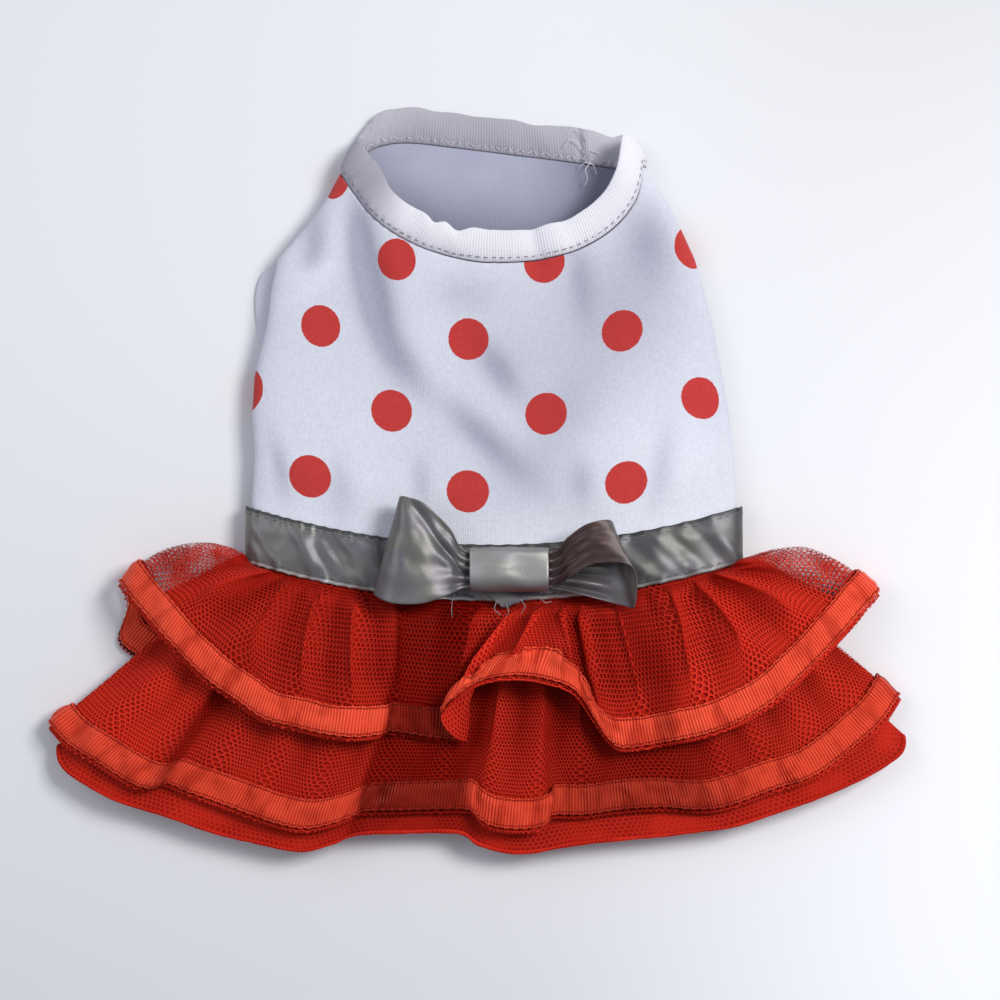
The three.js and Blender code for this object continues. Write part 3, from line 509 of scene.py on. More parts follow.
def rib_knit(name, pitch, light, dark):
    """Rib knit: ribs as a wave along the cloth's u, with fuzz and a finer wave along v for
    its loops, with painted shade in the grooves and where the mesh's shade is high."""
    n = Nodes(name)
    u, v, _ = n.split(n.uv())
    wander = n.math("MULTIPLY", n.noise(n.uv(), 300.0), 0.4 * MM)
    wave = n.math("SINE", n.math("MULTIPLY", n.math("ADD", u, wander), 2 * np.pi / pitch))
    loops = n.math("SINE", n.math("MULTIPLY", v, 2 * np.pi / (0.75 * MM)))
    fuzz = n.noise(n.uv(), 1100.0, 4.0, 0.65)
    height = n.math("ADD", n.math("MULTIPLY", wave, 0.30), n.math("MULTIPLY", loops, 0.12))
    height = n.math("ADD", height, fuzz)
    share = n.math("MULTIPLY_ADD", wave, 0.16, n.noise(n.place(), 45.0, 3.0))
    color = n.blend(share, dark, light)
    # Painted shade from the mesh's shade.
    color = n.blend(n.shade(), color, n.vector("MULTIPLY", color, (0.50, 0.48, 0.52)))
    return n.finish(color, n.bump(height, 0.3 * MM, 0.6), Roughness=0.95,
                    Specular_IOR_Level=0.15, Sheen_Weight=0.15)


def closed(path):
    """A closed line or grid with its first place again at the end."""
    return np.concatenate([path, path[:1]])


def ring_cloth(name, points_of, columns, lines):
    """A closed strip as a mesh: points_of is read at columns places round it and lines
    places round its section, with u and v as lengths of cloth."""
    turn, section = np.meshgrid(np.arange(columns) / columns, np.linspace(0, 1, lines), indexing="ij")
    points = points_of(turn, section)
    u = running(np.linalg.norm(np.diff(closed(points), axis=0), axis=-1).mean(axis=1))
    v = running(np.linalg.norm(np.diff(points, axis=1), axis=-1).mean(axis=0))
    uv = np.stack(np.meshgrid(u, v, indexing="ij"), -1)
    return cloth_mesh(name, points, uv, True), points


def stitch_row(name, path, up, long, gap, radius, material, slant=0.0):
    """Stitches along a line of points: at each, a spindle whose section is a ring scaled
    by a half circle's height along it, turned from the line by plus or minus the slant."""
    along = running(np.linalg.norm(np.diff(path, axis=0), axis=1))
    at = np.arange(long, along[-1] - long / 2, long + gap)
    centre, normal, forward = (
        np.stack([np.interp(at, along, values[:, k]) for k in range(3)], -1)
        for values in (path, up, np.gradient(path, axis=0)))
    normal, forward = unit(normal), unit(forward)
    side = unit(np.cross(normal, forward))
    turn = slant * np.where(np.arange(len(at)) % 2, 1, -1)[:, None]
    forward, side = (forward * np.cos(turn) + side * np.sin(turn),
                     side * np.cos(turn) - forward * np.sin(turn))
    step = np.linspace(-1, 1, 6)[None, :, None, None]
    ring = np.linspace(2 * np.pi, 0, 8)[None, None, :, None]
    high = np.sqrt(np.maximum(1 - step ** 2, 0)) * radius
    points = (centre[:, None, None] + forward[:, None, None] * step * long / 2
              + side[:, None, None] * np.cos(ring) * high
              + normal[:, None, None] * (np.sin(ring) * high * 0.8 + 0.4 * high))
    points = points.reshape(-1, 8, 3)
    keep = np.ones((len(points) - 1, 7), bool)
    keep[5::6] = False
    uv = np.zeros(points.shape[:2] + (2,))
    piece = cloth_mesh(name, points, uv, False, keep)
    piece.data.materials.append(material)
    return piece


def thread_material(name, color):
    """Thread: its colour, darker where a fine noise is low, which also roughens it."""
    n = Nodes(name)
    twist = n.noise(n.place(), 2500.0, 2.0)
    shade = n.blend(twist, tuple(0.7 * c for c in color), color)
    return n.finish(shade, n.bump(twist, 0.1 * MM, 0.5), Roughness=0.8, Specular_IOR_Level=0.1)


def keep_piece(piece, node):
    """Marks a piece as the looks of a CAD part: hangs it on the root body and hides the part."""
    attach(piece, "root")
    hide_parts(node)
    return piece


neck_rib = rib_knit("neck rib", 0.95 * MM, (0.89, 0.88, 0.94), (0.69, 0.68, 0.75))
neck_columns, neck_lines = 420, 33
neck, neck_grid = ring_cloth("rib_neck_binding", neck_points, neck_columns, neck_lines)
neck.data.materials.append(neck_rib)

# Painted shade on the binding at the left corner, over the nape and along its seam.
turn, section = np.meshgrid(np.arange(neck_columns) / neck_columns,
                            np.linspace(0, 1, neck_lines), indexing="ij")
low_edge = np.maximum(0, np.cos(2 * np.pi * section)) ** 2
left_corner, nape_shade = ease(-across_of(turn), 0.45, 0.85), 0.9 - 0.3 * across_of(turn) ** 2
neck_shade = np.where(is_top(turn), left_corner, nape_shade)
shade_points(neck, np.clip(neck_shade + 0.4 * low_edge, 0, 1))
keep_piece(neck, "neck_binding")

# The topstitch runs on the outer face by the seam, and the overlock on the inner face over
# the nape.
grey_thread = thread_material("grey thread", (0.30, 0.29, 0.36))
white_thread = thread_material("white thread", (0.80, 0.80, 0.86))
outer_line = neck_grid[:, 5]
seam_up = unit(neck_grid[:, 6] - neck_grid[:, 28])
nape = slice(215, 415)
overlock = stitch_row("neck_overlock", neck_grid[nape, 27], -seam_up[nape], 2.2 * MM, 0.1 * MM,
                      0.24 * MM, white_thread, slant=0.75)
keep_piece(overlock, "neck_binding")


def tube(name, line, radius, material):
    """A thread: a ring carried along a smooth line of points."""
    line = np.array(line)
    at = np.linspace(0, len(line) - 1, 12 * len(line))
    smooth = np.stack([np.interp(at, np.arange(len(line)), line[:, k]) for k in range(3)], -1)
    for _ in range(12):
        smooth[1:-1] = (smooth[:-2] + 2 * smooth[1:-1] + smooth[2:]) / 4
    forward = unit(np.gradient(smooth, axis=0))
    side = unit(np.cross(forward, [0.2, 0.1, 1.0]))
    up = np.cross(side, forward)
    ring = np.linspace(0, 2 * np.pi, 7)[None, :, None]
    points = smooth[:, None] + radius * (side[:, None] * np.cos(ring) + up[:, None] * np.sin(ring))
    piece = cloth_mesh(name, points[:, ::-1], np.zeros(points.shape[:2] + (2,)), False)
    piece.data.materials.append(material)
    return piece


# Loose ends of thread at the binding's join, in millimetres from the waist's middle.
for k, line in enumerate((
        [(31, 121, 3), (29, 124, 5), (26, 126, 6), (24, 123, 5)],
        [(32, 122, 3), (31, 127, 6), (28, 129, 5), (25, 128, 3)],
        [(33, 118, 4), (31, 115, 6), (32, 112, 5), (31, 110, 4)],
        [(30, 119, 3), (33, 122, 5), (36, 121, 4)],
        [(29, 116, 3), (31, 118, 5), (34, 117, 4), (35, 114, 3)])):
    keep_piece(tube(f"neck_loose_thread_{k}", np.array(line) * MM, 0.14 * MM, white_thread),
               "neck_binding")
topstitch = stitch_row("neck_topstitch", closed(outer_line), closed(seam_up), 1.9 * MM,
                       0.9 * MM, 0.22 * MM, grey_thread)
keep_piece(topstitch, "neck_binding")

# Leg bindings
# Folded strips of the same rib knit, sewn round the leg holes. The left one spreads past
# the side fold, and the right one lies flat under the dress.
legband_length, legband_half = 6 * MM, 0.8 * MM


def leg_points(hole, turn, section):
    """The strip: outline of the hole shrunk along the strip's width, as a flattened ring,
    and on the left raised towards the side fold."""
    _, _, inset, spread = hole
    angle = 2 * np.pi * turn
    c, s = np.cos(2 * np.pi * section), np.sin(2 * np.pi * section)
    share = 0.5 - 0.5 * signed_power(c, 0.55)
    far = share * legband_length
    x, y = leg_outline(hole, angle, far * inset, far, far * spread)
    outward = np.sqrt(np.maximum(0, -np.cos(angle))) if spread < 0 else 0 * angle
    rise = outward * (1 - share) * (fold_height - 2 * legband_half - MM)
    x = x + outward * (1 - share) * 4.5 * MM
    off = signed_power(s, 0.6) * legband_half
    return np.stack([x, y, legband_half + rise + off], -1)


leg_rib = rib_knit("leg rib", 0.95 * MM, (0.80, 0.80, 0.88), (0.60, 0.60, 0.70))
for side, hole in (("left", left_hole), ("right", right_hole)):
    strip, _ = ring_cloth("rib_leg_binding_" + side,
                          lambda t, s: leg_points(hole, t, s), 220, 21)
    strip.data.materials.append(leg_rib)
    keep_piece(strip, "leg_binding_" + side)

# Waistband
# Grey satin ribbon round the waist, sewn down along both edges, which puckers it.


def waist_points(turn, inset, y):
    """Point of the flattened waist, inset from the waistband's outer face."""
    across = across_of(turn)
    far = np.where(is_top(turn), waist_height - inset, inset)
    z = fold_height + (far - fold_height) * fullness(turn)
    return np.stack([across * (waist_width / 2 - inset), y, z], -1)


def waistband_points(turn, share):
    """The ribbon: on the waist's section, with puckers that fade from both stitched edges
    and soft folds along it."""
    y = waist_seam(across_of(turn)) - share * waistband_length
    points = waist_points(turn, 0.2 * MM, y)
    x, run = points[..., 0], points[..., 0] + 3 * points[..., 2]
    edges = hump(share, 0, 0.16) + hump(share, 1, 0.16)
    pucker = np.abs(np.sin(np.pi * run / (5.6 * MM) + 1.2 * np.sin(run / 0.021)))
    deep = y - waist_seam(across_of(turn))
    folds = soft_noise(run + 1.2 * deep, 3.0 * deep, 17 * MM, 11)
    fine = soft_noise(run, 1.5 * deep, 4.5 * MM, 12)
    sink = edges * (0.3 + 0.65 * pucker) * MM + (0.55 * folds + 0.22 * fine + 0.6) * MM
    toward = np.where(is_top(turn), -1, 1) * fullness(turn)
    diagonal = soft_noise(run + 0.9 * deep, 0.45 * deep, 8 * MM, 13)
    sink += 0.5 * MM * diagonal * np.sin(np.pi * share)
    points[..., 2] += sink * toward
    points[..., 1] += np.where(share < 0.5, -1, 1) * 0.25 * MM * pucker * edges
    return points


def satin(name, dark, light, cool, fold, shaded=(0.03, 0.029, 0.031), hemmed=False):
    """Satin: fine threads along the cloth as streaky noise in the colour and the bump,
    with a smooth, slightly metallic sheen. A slow noise tints it in patches, cool or
    olive, and another bumps it with soft folds of strength fold. In painted shade it nears
    the shaded colour. If hemmed, its v runs down the waistband, whose upper edge is darkened
    by painted shade and whose lower edge is a pale rim."""
    n = Nodes(name)
    u, v, _ = n.split(n.uv())
    streak = n.noise(n.join(n.math("MULTIPLY", u, 0.25), v), 3000.0, 3.0, 0.6)
    twill = n.math("SINE", n.math("MULTIPLY", n.math("ADD", u, v), 2 * np.pi / (0.62 * MM)))
    cloud = n.noise(n.place(), 60.0, 3.0)
    color = n.blend(n.math("MULTIPLY_ADD", streak, 0.6, n.math("MULTIPLY", cloud, 0.5)), dark, light)
    olive = (0.19, 0.182, 0.13)
    tint = n.blend(n.ramp(n.noise(n.place(), 70.0, 1.0), 0.4, 0.6), cool, olive)
    color = n.blend(n.math("MULTIPLY", n.noise(n.place(), 110.0, 1.0), 0.55), color, tint)
    if hemmed:
        # Painted shade along the band's upper edge, and a pale rim along its lower edge.
        color = n.blend(n.ramp(v, -1.7 * MM, -0.9 * MM), color, (0.07, 0.07, 0.07))
        color = n.blend(n.ramp(v, -17.7 * MM, -18.3 * MM), color, (0.46, 0.46, 0.45))
    # Painted shade from the mesh's shade.
    color = n.blend(n.math("MULTIPLY", n.shade(), 0.85), color, shaded)
    across_folds = n.join(n.math("MULTIPLY_ADD", v, 0.8, u), n.math("MULTIPLY", v, 0.5))
    folds = n.bump(n.noise(across_folds, 78.0, 1.0), 5.0 * MM, fold)
    height = n.math("MULTIPLY_ADD", twill, 0.14, streak)
    return n.finish(color, n.bump(height, 0.11 * MM, 0.5, folds), Roughness=0.37, Metallic=0.4,
                    Specular_IOR_Level=0.5, Anisotropic=0.5)


band_satin = satin("waistband satin", (0.09, 0.09, 0.096), (0.23, 0.23, 0.236),
                   (0.16, 0.145, 0.185), 0.9, hemmed=True)
band_columns, band_lines = 440, 30
turn, share = np.meshgrid(np.arange(band_columns) / band_columns,
                          np.linspace(0, 1, band_lines), indexing="ij")
band_grid = waistband_points(turn, share)
run = running(np.linalg.norm(np.diff(closed(band_grid), axis=0), axis=-1)[:, 0])
band_down = -waistband_length * np.linspace(0, 1, band_lines)
band_uv = np.stack(np.meshgrid(run, band_down, indexing="ij"), -1)
waistband = cloth_mesh("satin_waistband", band_grid[:, ::-1], band_uv[:, ::-1], True)
waistband.data.materials.append(band_satin)
# Painted shade towards the band's right end.
shade_points(waistband, 0.55 * ease(across_of(turn), 0.25, 0.6))
thicken(waistband, 0.5 * MM, -1)
keep_piece(waistband, "waistband")


def surface_normals(grid):
    """Unit normals of a closed grid: the cross of its two directions."""
    return unit(np.cross(turning(grid), np.gradient(grid, axis=1)))


band_up = -surface_normals(band_grid)
satin_thread = thread_material("satin thread", (0.16, 0.16, 0.17))
for row, line in enumerate((3, 26)):
    stitches = stitch_row(f"waistband_stitches_{row}", closed(band_grid[:, line]),
                          closed(band_up[:, line]), 2.1 * MM, 0.9 * MM, 0.2 * MM, satin_thread)
    keep_piece(stitches, "waistband")

# Net ruffles and underskirt
# Three tiers of red hexagonal net, gathered to the waist under the ribbon and spread on the
# table: two ruffles of two layers each, and the underskirt, which is denser.
skirt_width, skirt_drop, ruffle_rise = 293 * MM, 115.6 * MM, 30 * MM
net_step = 1.35 * MM
table_floor = 1.85 * MM
ribbon_length, fringe_length = 10 * MM, 1.6 * MM

# Hems, once round from the left side over the top: the place across the waist that a column
# of net is gathered to, its place across and down as shares of the skirt's half width and
# drop, and its height as a share of the rise. The lower layers have no height of their own.
upper_front = [
    (-1.00, -0.862, 0.235, 0.32), (-0.97, -0.815, 0.300, 0.52), (-0.92, -0.750, 0.388, 0.68),
    (-0.85, -0.660, 0.503, 0.74), (-0.78, -0.574, 0.579, 0.75), (-0.72, -0.519, 0.626, 0.75),
    (-0.65, -0.449, 0.650, 0.77), (-0.57, -0.380, 0.670, 0.79), (-0.49, -0.318, 0.679, 0.80),
    (-0.43, -0.262, 0.672, 0.72), (-0.39, -0.241, 0.662, 0.62), (-0.30, -0.190, 0.670, 0.57),
    (-0.17, -0.130, 0.682, 0.55), (-0.09, -0.088, 0.684, 0.55), (-0.04, -0.060, 0.683, 0.67),
    (0.00, -0.084, 0.670, 0.80), (0.04, -0.109, 0.640, 0.82), (0.08, -0.118, 0.606, 0.87),
    (0.11, -0.094, 0.574, 0.92), (0.14, -0.053, 0.534, 0.95), (0.18, -0.007, 0.512, 0.98),
    (0.22, 0.056, 0.506, 1.00), (0.26, 0.118, 0.518, 0.97), (0.30, 0.178, 0.548, 0.88),
    (0.34, 0.220, 0.622, 0.77), (0.38, 0.259, 0.688, 0.70), (0.43, 0.296, 0.710, 0.68),
    (0.53, 0.384, 0.694, 0.70), (0.63, 0.477, 0.670, 0.72), (0.73, 0.569, 0.626, 0.72),
    (0.81, 0.639, 0.570, 0.71), (0.88, 0.708, 0.491, 0.68), (0.94, 0.789, 0.388, 0.60),
    (0.98, 0.847, 0.309, 0.46), (1.00, 0.884, 0.262, 0.32)]
upper_back = [
    (0.99, 0.876, 0.285, 0), (0.91, 0.795, 0.400, 0), (0.80, 0.685, 0.530, 0),
    (0.65, 0.569, 0.612, 0), (0.43, 0.361, 0.645, 0), (0.20, 0.152, 0.620, 0),
    (0.00, -0.033, 0.650, 0), (-0.20, -0.218, 0.620, 0), (-0.45, -0.426, 0.640, 0),
    (-0.67, -0.611, 0.585, 0), (-0.82, -0.739, 0.512, 0), (-0.91, -0.824, 0.447, 0),
    (-0.97, -0.868, 0.395, 0), (-0.99, -0.850, 0.300, 0)]
lower_front = [
    (-1.00, -1.020, 0.644, 0.22), (-0.97, -0.977, 0.697, 0.36), (-0.92, -0.901, 0.753, 0.47),
    (-0.86, -0.831, 0.806, 0.52), (-0.82, -0.792, 0.824, 0.52), (-0.79, -0.766, 0.815, 0.47),
    (-0.75, -0.742, 0.813, 0.45), (-0.70, -0.699, 0.835, 0.48), (-0.62, -0.600, 0.879, 0.52),
    (-0.54, -0.514, 0.918, 0.55), (-0.46, -0.433, 0.941, 0.56), (-0.40, -0.366, 0.926, 0.55),
    (-0.35, -0.322, 0.905, 0.51), (-0.30, -0.298, 0.894, 0.47), (-0.20, -0.211, 0.891, 0.46),
    (-0.10, -0.125, 0.888, 0.46), (-0.01, -0.062, 0.888, 0.46), (0.02, -0.045, 0.895, 0.50),
    (0.05, -0.034, 0.912, 0.55), (0.09, -0.010, 0.931, 0.59), (0.15, 0.030, 0.941, 0.60),
    (0.20, 0.083, 0.941, 0.60), (0.24, 0.113, 0.930, 0.56), (0.28, 0.132, 0.904, 0.50),
    (0.35, 0.206, 0.903, 0.47), (0.43, 0.294, 0.888, 0.46), (0.52, 0.384, 0.882, 0.47),
    (0.61, 0.477, 0.888, 0.48), (0.68, 0.539, 0.874, 0.48), (0.77, 0.639, 0.829, 0.47),
    (0.86, 0.738, 0.785, 0.46), (0.93, 0.840, 0.688, 0.40), (0.97, 0.893, 0.629, 0.32),
    (1.00, 0.933, 0.562, 0.23)]
lower_back = [
    (0.99, 0.925, 0.590, 0), (0.92, 0.847, 0.728, 0), (0.80, 0.738, 0.800, 0),
    (0.62, 0.569, 0.850, 0), (0.42, 0.361, 0.868, 0), (0.20, 0.152, 0.880, 0),
    (0.00, -0.033, 0.868, 0), (-0.20, -0.218, 0.868, 0), (-0.42, -0.403, 0.900, 0),
    (-0.62, -0.588, 0.865, 0), (-0.80, -0.750, 0.800, 0), (-0.92, -0.885, 0.740, 0),
    (-0.99, -1.008, 0.668, 0)]
under_front = [
    (-1.00, -0.996, 0.690, 0.17), (-0.97, -0.988, 0.745, 0.26), (-0.91, -0.950, 0.785, 0.34),
    (-0.83, -0.861, 0.847, 0.38), (-0.74, -0.750, 0.891, 0.37), (-0.64, -0.635, 0.941, 0.37),
    (-0.55, -0.537, 0.970, 0.38), (-0.46, -0.438, 0.993, 0.39), (-0.38, -0.366, 0.973, 0.38),
    (-0.30, -0.310, 0.947, 0.37), (-0.18, -0.211, 0.941, 0.37), (-0.03, -0.082, 0.941, 0.37),
    (0.03, -0.036, 0.974, 0.38), (0.08, 0.028, 0.996, 0.39), (0.14, 0.088, 0.996, 0.39),
    (0.22, 0.162, 0.979, 0.38), (0.31, 0.250, 0.965, 0.37), (0.43, 0.384, 0.950, 0.37),
    (0.52, 0.477, 0.935, 0.37), (0.60, 0.540, 0.924, 0.37), (0.68, 0.639, 0.885, 0.37),
    (0.77, 0.738, 0.841, 0.37), (0.87, 0.840, 0.785, 0.35), (0.96, 0.925, 0.718, 0.27),
    (1.00, 0.935, 0.660, 0.17)]
under_back = [
    (0.97, 0.905, 0.712, 0), (0.87, 0.806, 0.800, 0), (0.68, 0.620, 0.880, 0),
    (0.45, 0.389, 0.925, 0), (0.20, 0.157, 0.960, 0), (0.00, -0.028, 0.930, 0),
    (-0.20, -0.213, 0.925, 0), (-0.45, -0.421, 0.965, 0), (-0.68, -0.640, 0.915, 0),
    (-0.87, -0.870, 0.820, 0), (-0.97, -0.970, 0.738, 0)]


def read_round(values, at):
    """A closed smooth curve through the values, read at fractional rows: between two rows a
    cubic, whose slope at a row is half the step between the row's neighbours."""
    first = np.floor(at).astype(int)
    f = at - first
    a, b, c, d = (values[(first + k) % len(values)] for k in (-1, 0, 1, 2))
    return b + 0.5 * f * (c - a + f * (2 * a - 5 * b + 4 * c - d + f * (3 * (b - c) + d - a)))


class Tier:
    """A gathered tier of net. order counts the tiers from the waistband inwards, puff and
    spring arch it up and out, floor is its hem's least height and fold the height of its
    broad folds. shades gives its depth of painted shade by the place across."""

    def __init__(self, front, back, shades, order, puff, spring, floor, fold):
        rows = np.array(front + back)
        self.shades = np.array(shades)
        above = np.arange(len(rows)) < len(front)
        quarter = np.arccos(-rows[:, 0]) / (2 * np.pi)
        self.turns = np.where(above, quarter, 1 - quarter)
        self.rows, self.order, self.puff, self.spring = rows, order, puff, spring
        self.floor, self.fold = floor, fold

    def hem(self, at):
        """Point of the hem at a fractional row: the smooth curve through the tables."""
        across, down, high = (read_round(self.rows[:, k], at) for k in (1, 2, 3))
        return np.stack([across * skirt_width / 2, -down * skirt_drop,
                         np.maximum(high * ruffle_rise, self.floor)], -1)

    def even_places(self, count):
        """Fractional rows that share out the hem's length evenly, and that length."""
        fine = np.linspace(0, len(self.rows), 6001)
        along = running(np.linalg.norm(np.diff(self.hem(fine), axis=0), axis=1))
        return np.interp(np.arange(count) / count * along[-1], along, fine), along[-1]

    def sheet(self, at, cloth, down, depth=0.0, seed=0):
        """Points of the net, and their depth of painted shade: at says which column, cloth its
        length along the hem, and down the share from the waistband's edge (0) to the hem
        (1), less than 0 inside the band. A column runs straight to the hem, arched by puff
        and spring. Narrow pleats rise from the gathering and fade, and broad folds rise
        between them and the hem. Painted shade is deeper in the valleys and at the gathering."""
        count = len(self.rows)
        turn = np.interp(at, np.arange(count + 1), np.append(self.turns, 1 + self.turns[0])) % 1
        across, top = across_of(turn), is_top(turn)
        inset = bodice_inset + self.order * net_step + depth
        begin = waist_points(turn, inset, waist_seam(across) - 0.56 * waistband_length)
        leave_drop = waistband_length + 0.35 * MM + (self.order + 0.6) * net_step
        leave = waist_points(turn, inset, waist_seam(across) - leave_drop)
        hem = self.hem(at)
        hem[..., 2] = np.maximum(hem[..., 2] - depth * np.where(top, 1, 0), self.floor)
        f = np.maximum(down, 0)[..., None]
        points = np.where(down[..., None] < 0, leave + (begin - leave) * -down[..., None],
                          leave + (hem - leave) * f)
        f = f[..., 0]
        arch = 4 * f * (1 - f)
        points[..., 1] += 0.6 * self.spring * arch * across ** 4
        lying = leave[..., 2] + (table_floor + self.order * net_step - leave[..., 2]) * ease(f, 0, 0.3)
        lying += (self.floor - lying) * ease(f, 0.78, 0.95)
        wander = 5 * MM * soft_noise(cloth, down * 40 * MM, 34 * MM, seed + 1)
        narrow = np.abs(np.sin(np.pi * (cloth + wander) / (8.5 * MM)))
        narrow *= 1.3 * MM * ease(f, 0, 0.05) * np.exp(-f / 0.25) * (1 - ease(f, 0.7, 0.85))
        phase = np.pi * (cloth + 1.6 * wander) / (21 * MM) + seed
        fade = ease(f, 0.0, 0.16) * (1 - ease(f, 0.5, 0.88))
        broad = (np.abs(np.sin(phase)) + 0.3 * soft_noise(cloth, down * 9 * MM, 26 * MM, seed + 3)) * fade
        rough = soft_noise(cloth, down * 60 * MM, 13 * MM, seed + 2) * ease(f, 0.05, 0.3)
        lift = self.puff * arch + narrow + self.fold * broad
        lift += 0.5 * MM * rough * (1 - ease(f, 0.7, 0.85))
        points[..., 0] += 0.55 * self.fold * np.sin(2 * phase) * fade * top
        points[..., 2] = np.where(top, points[..., 2] + lift * (down >= 0),
                                  np.where(down < 0, points[..., 2], lying))
        shade = np.where(top, np.interp(across, self.shades[:, 0], self.shades[:, 1]), 0.3)
        valleys = (1 - np.abs(np.sin(phase))) ** 1.5 * fade + (1 - ease(f, 0, 0.12))
        return points, np.clip(shade + 0.45 * valleys * top, 0, 1)


def net_material(name, pitch, strand, bright, dark, backing=None, clear_from=0.0, level=0.0):
    """Net: the distance, in a hexagon's norm, to the nearest of the centres of two
    rectangular lattices, which make one triangular lattice. Near a cell's edge is a strand.
    The rest is clear. The cells are drawn out along v, and a noise bends their rows. With
    a backing colour the net lies in close layers: dark red, the further layers with painted
    shade among them, fills its cells as far out as clear_from at the given level along the
    dress, and further out below it. Beyond that only patches of its strands show, as a
    second layer would. The mesh's shade darkens it all as painted shade."""
    n = Nodes(name)
    u, v, _ = n.split(n.vector("ADD", n.uv(), n.vector("SCALE", n.add(
        "ShaderNodeTexNoise", {"Vector": n.uv(), "Scale": 90.0}).outputs["Color"], 0.9 * MM)))
    v = n.math("MULTIPLY", v, 0.82)
    tall = pitch * np.sqrt(3)
    near = []
    for step in (0.0, 0.5):
        du = n.math("ABSOLUTE", n.math("WRAP", n.math("ADD", u, step * pitch), pitch / 2, -pitch / 2))
        dv = n.math("ABSOLUTE", n.math("WRAP", n.math("ADD", v, step * tall), tall / 2, -tall / 2))
        slant = n.math("MULTIPLY_ADD", dv, float(np.sqrt(0.75)), n.math("MULTIPLY", du, 0.5))
        near.append(n.math("MAXIMUM", du, slant))
    cell = n.math("MINIMUM", *near)
    edge = n.ramp(cell, pitch / 2 - strand - 0.05 * MM, pitch / 2 - strand + 0.05 * MM)
    cloud = n.noise(n.place(), 60.0, 3.0)
    color = n.blend(cloud, dark, bright)
    alpha = edge
    if backing is not None:
        close = n.ramp(n.noise(n.uv(), 55.0, 2.0), 0.42, 0.62)
        color = n.blend(edge, n.blend(close, backing, dark), color)
        x, y, _ = n.split(n.place())
        reach = n.math("ABSOLUTE", n.math("SUBTRACT", x, float(dress_place[0])))
        reach = n.math("MULTIPLY_ADD", n.math("SUBTRACT", y, float(dress_place[1]) + level), 1.85, reach)
        filled = n.ramp(reach, clear_from + 2 * MM, clear_from - 2 * MM)
        color = n.blend(filled, bright, color)
        double = n.ramp(n.noise(n.place(), 95.0, 1.0), 0.50, 0.56)
        alpha = n.math("MAXIMUM", n.math("MULTIPLY", edge, double), filled)
    # Painted shade from the mesh's shade, deeper in green and blue.
    color = n.blend(n.shade(), color, n.vector("MULTIPLY", color, (0.34, 0.17, 0.17)))
    n.tree.links.new(alpha, n.shader.inputs["Alpha"])
    twist = n.noise(n.uv(), 2400.0, 2.0)
    return n.finish(color, n.bump(n.math("ADD", edge, twist), 0.12 * MM, 0.5), Roughness=0.55,
                    Specular_IOR_Level=0.12, Specular_Tint=(1, 0.3, 0.2, 1))


def net_sheet(name, tier, columns, lines, material, node, depth=0.0, seed=0):
    """A tier's net as a mesh, closed round the waist. Its u is the length run along the
    middle of the drop, where the cells keep their size, and its v the one down it."""
    places, length = tier.even_places(columns)
    down = np.concatenate([[-1, -0.5], np.linspace(0, 1, lines)])
    at, share = np.meshgrid(places, down, indexing="ij")
    cloth = np.arange(columns) / columns * length
    points, shade = tier.sheet(at, cloth[:, None] + 0 * share, share, depth, seed)
    drop = running(np.linalg.norm(np.diff(points, axis=1), axis=-1).mean(axis=0))
    middle = closed(points[:, 2 + lines // 2])
    u = running(np.linalg.norm(np.diff(middle, axis=0), axis=-1))
    uv = np.stack(np.meshgrid(u, drop, indexing="ij"), -1)
    piece = cloth_mesh(name, points[:, ::-1], uv[:, ::-1], True)
    piece.data.materials.append(material)
    shade_points(piece, shade[:, ::-1])
    keep_piece(piece, node)


# Depth of painted shade from the left side over the top, by the place across the waist:
# the parts that sink between the lobes lie in close folds, painted dark.
upper_shades = [(-1, 0.5), (-0.97, 0.35), (-0.93, 0.1), (-0.87, 0.3), (-0.80, 0.45), (-0.74, 0.3),
                (-0.60, 0.35), (-0.46, 0.3), (-0.43, 0.35), (-0.41, 0.95), (-0.30, 1), (-0.17, 1),
                (-0.10, 0.9), (-0.05, 0.5), (0.02, 0.15), (0.10, 0), (0.25, 0.05), (0.33, 0.45),
                (0.42, 0.2), (0.50, 0.25), (0.53, 0.75), (0.56, 0.75), (0.60, 0.2), (0.80, 0.1),
                (0.94, 0.1), (1, 0.5)]
lower_shades = [(-1, 0.1), (-0.88, 0.05), (-0.84, 0.4), (-0.81, 0.85), (-0.78, 0.85), (-0.75, 0.4),
                (-0.64, 0.35), (-0.45, 0.45), (-0.36, 0.45), (-0.335, 0.97), (-0.05, 0.97), (0, 0.7),
                (0.04, 0.35), (0.20, 0.45), (0.27, 0.65), (0.35, 0.86), (0.60, 0.86), (0.70, 0.6),
                (0.80, 0.45), (0.90, 0.3), (1, 0.3)]
under_shades = [(-1, 0.2), (-0.35, 0.25), (-0.32, 0.7), (0, 0.7), (0.05, 0.3), (0.6, 0.25), (1, 0.2)]
upper = Tier(upper_front, upper_back, upper_shades, 0, 3 * MM, 18 * MM, table_floor, 6.0 * MM)
lower = Tier(lower_front, lower_back, lower_shades, 1, 0, 2 * MM, table_floor, 3.0 * MM)
under = Tier(under_front, under_back, under_shades, 2, 0, 0, table_floor + net_step, 0.8 * MM)
strand_bright, strand_dark = (0.90, 0.052, 0.026), (0.64, 0.024, 0.013)
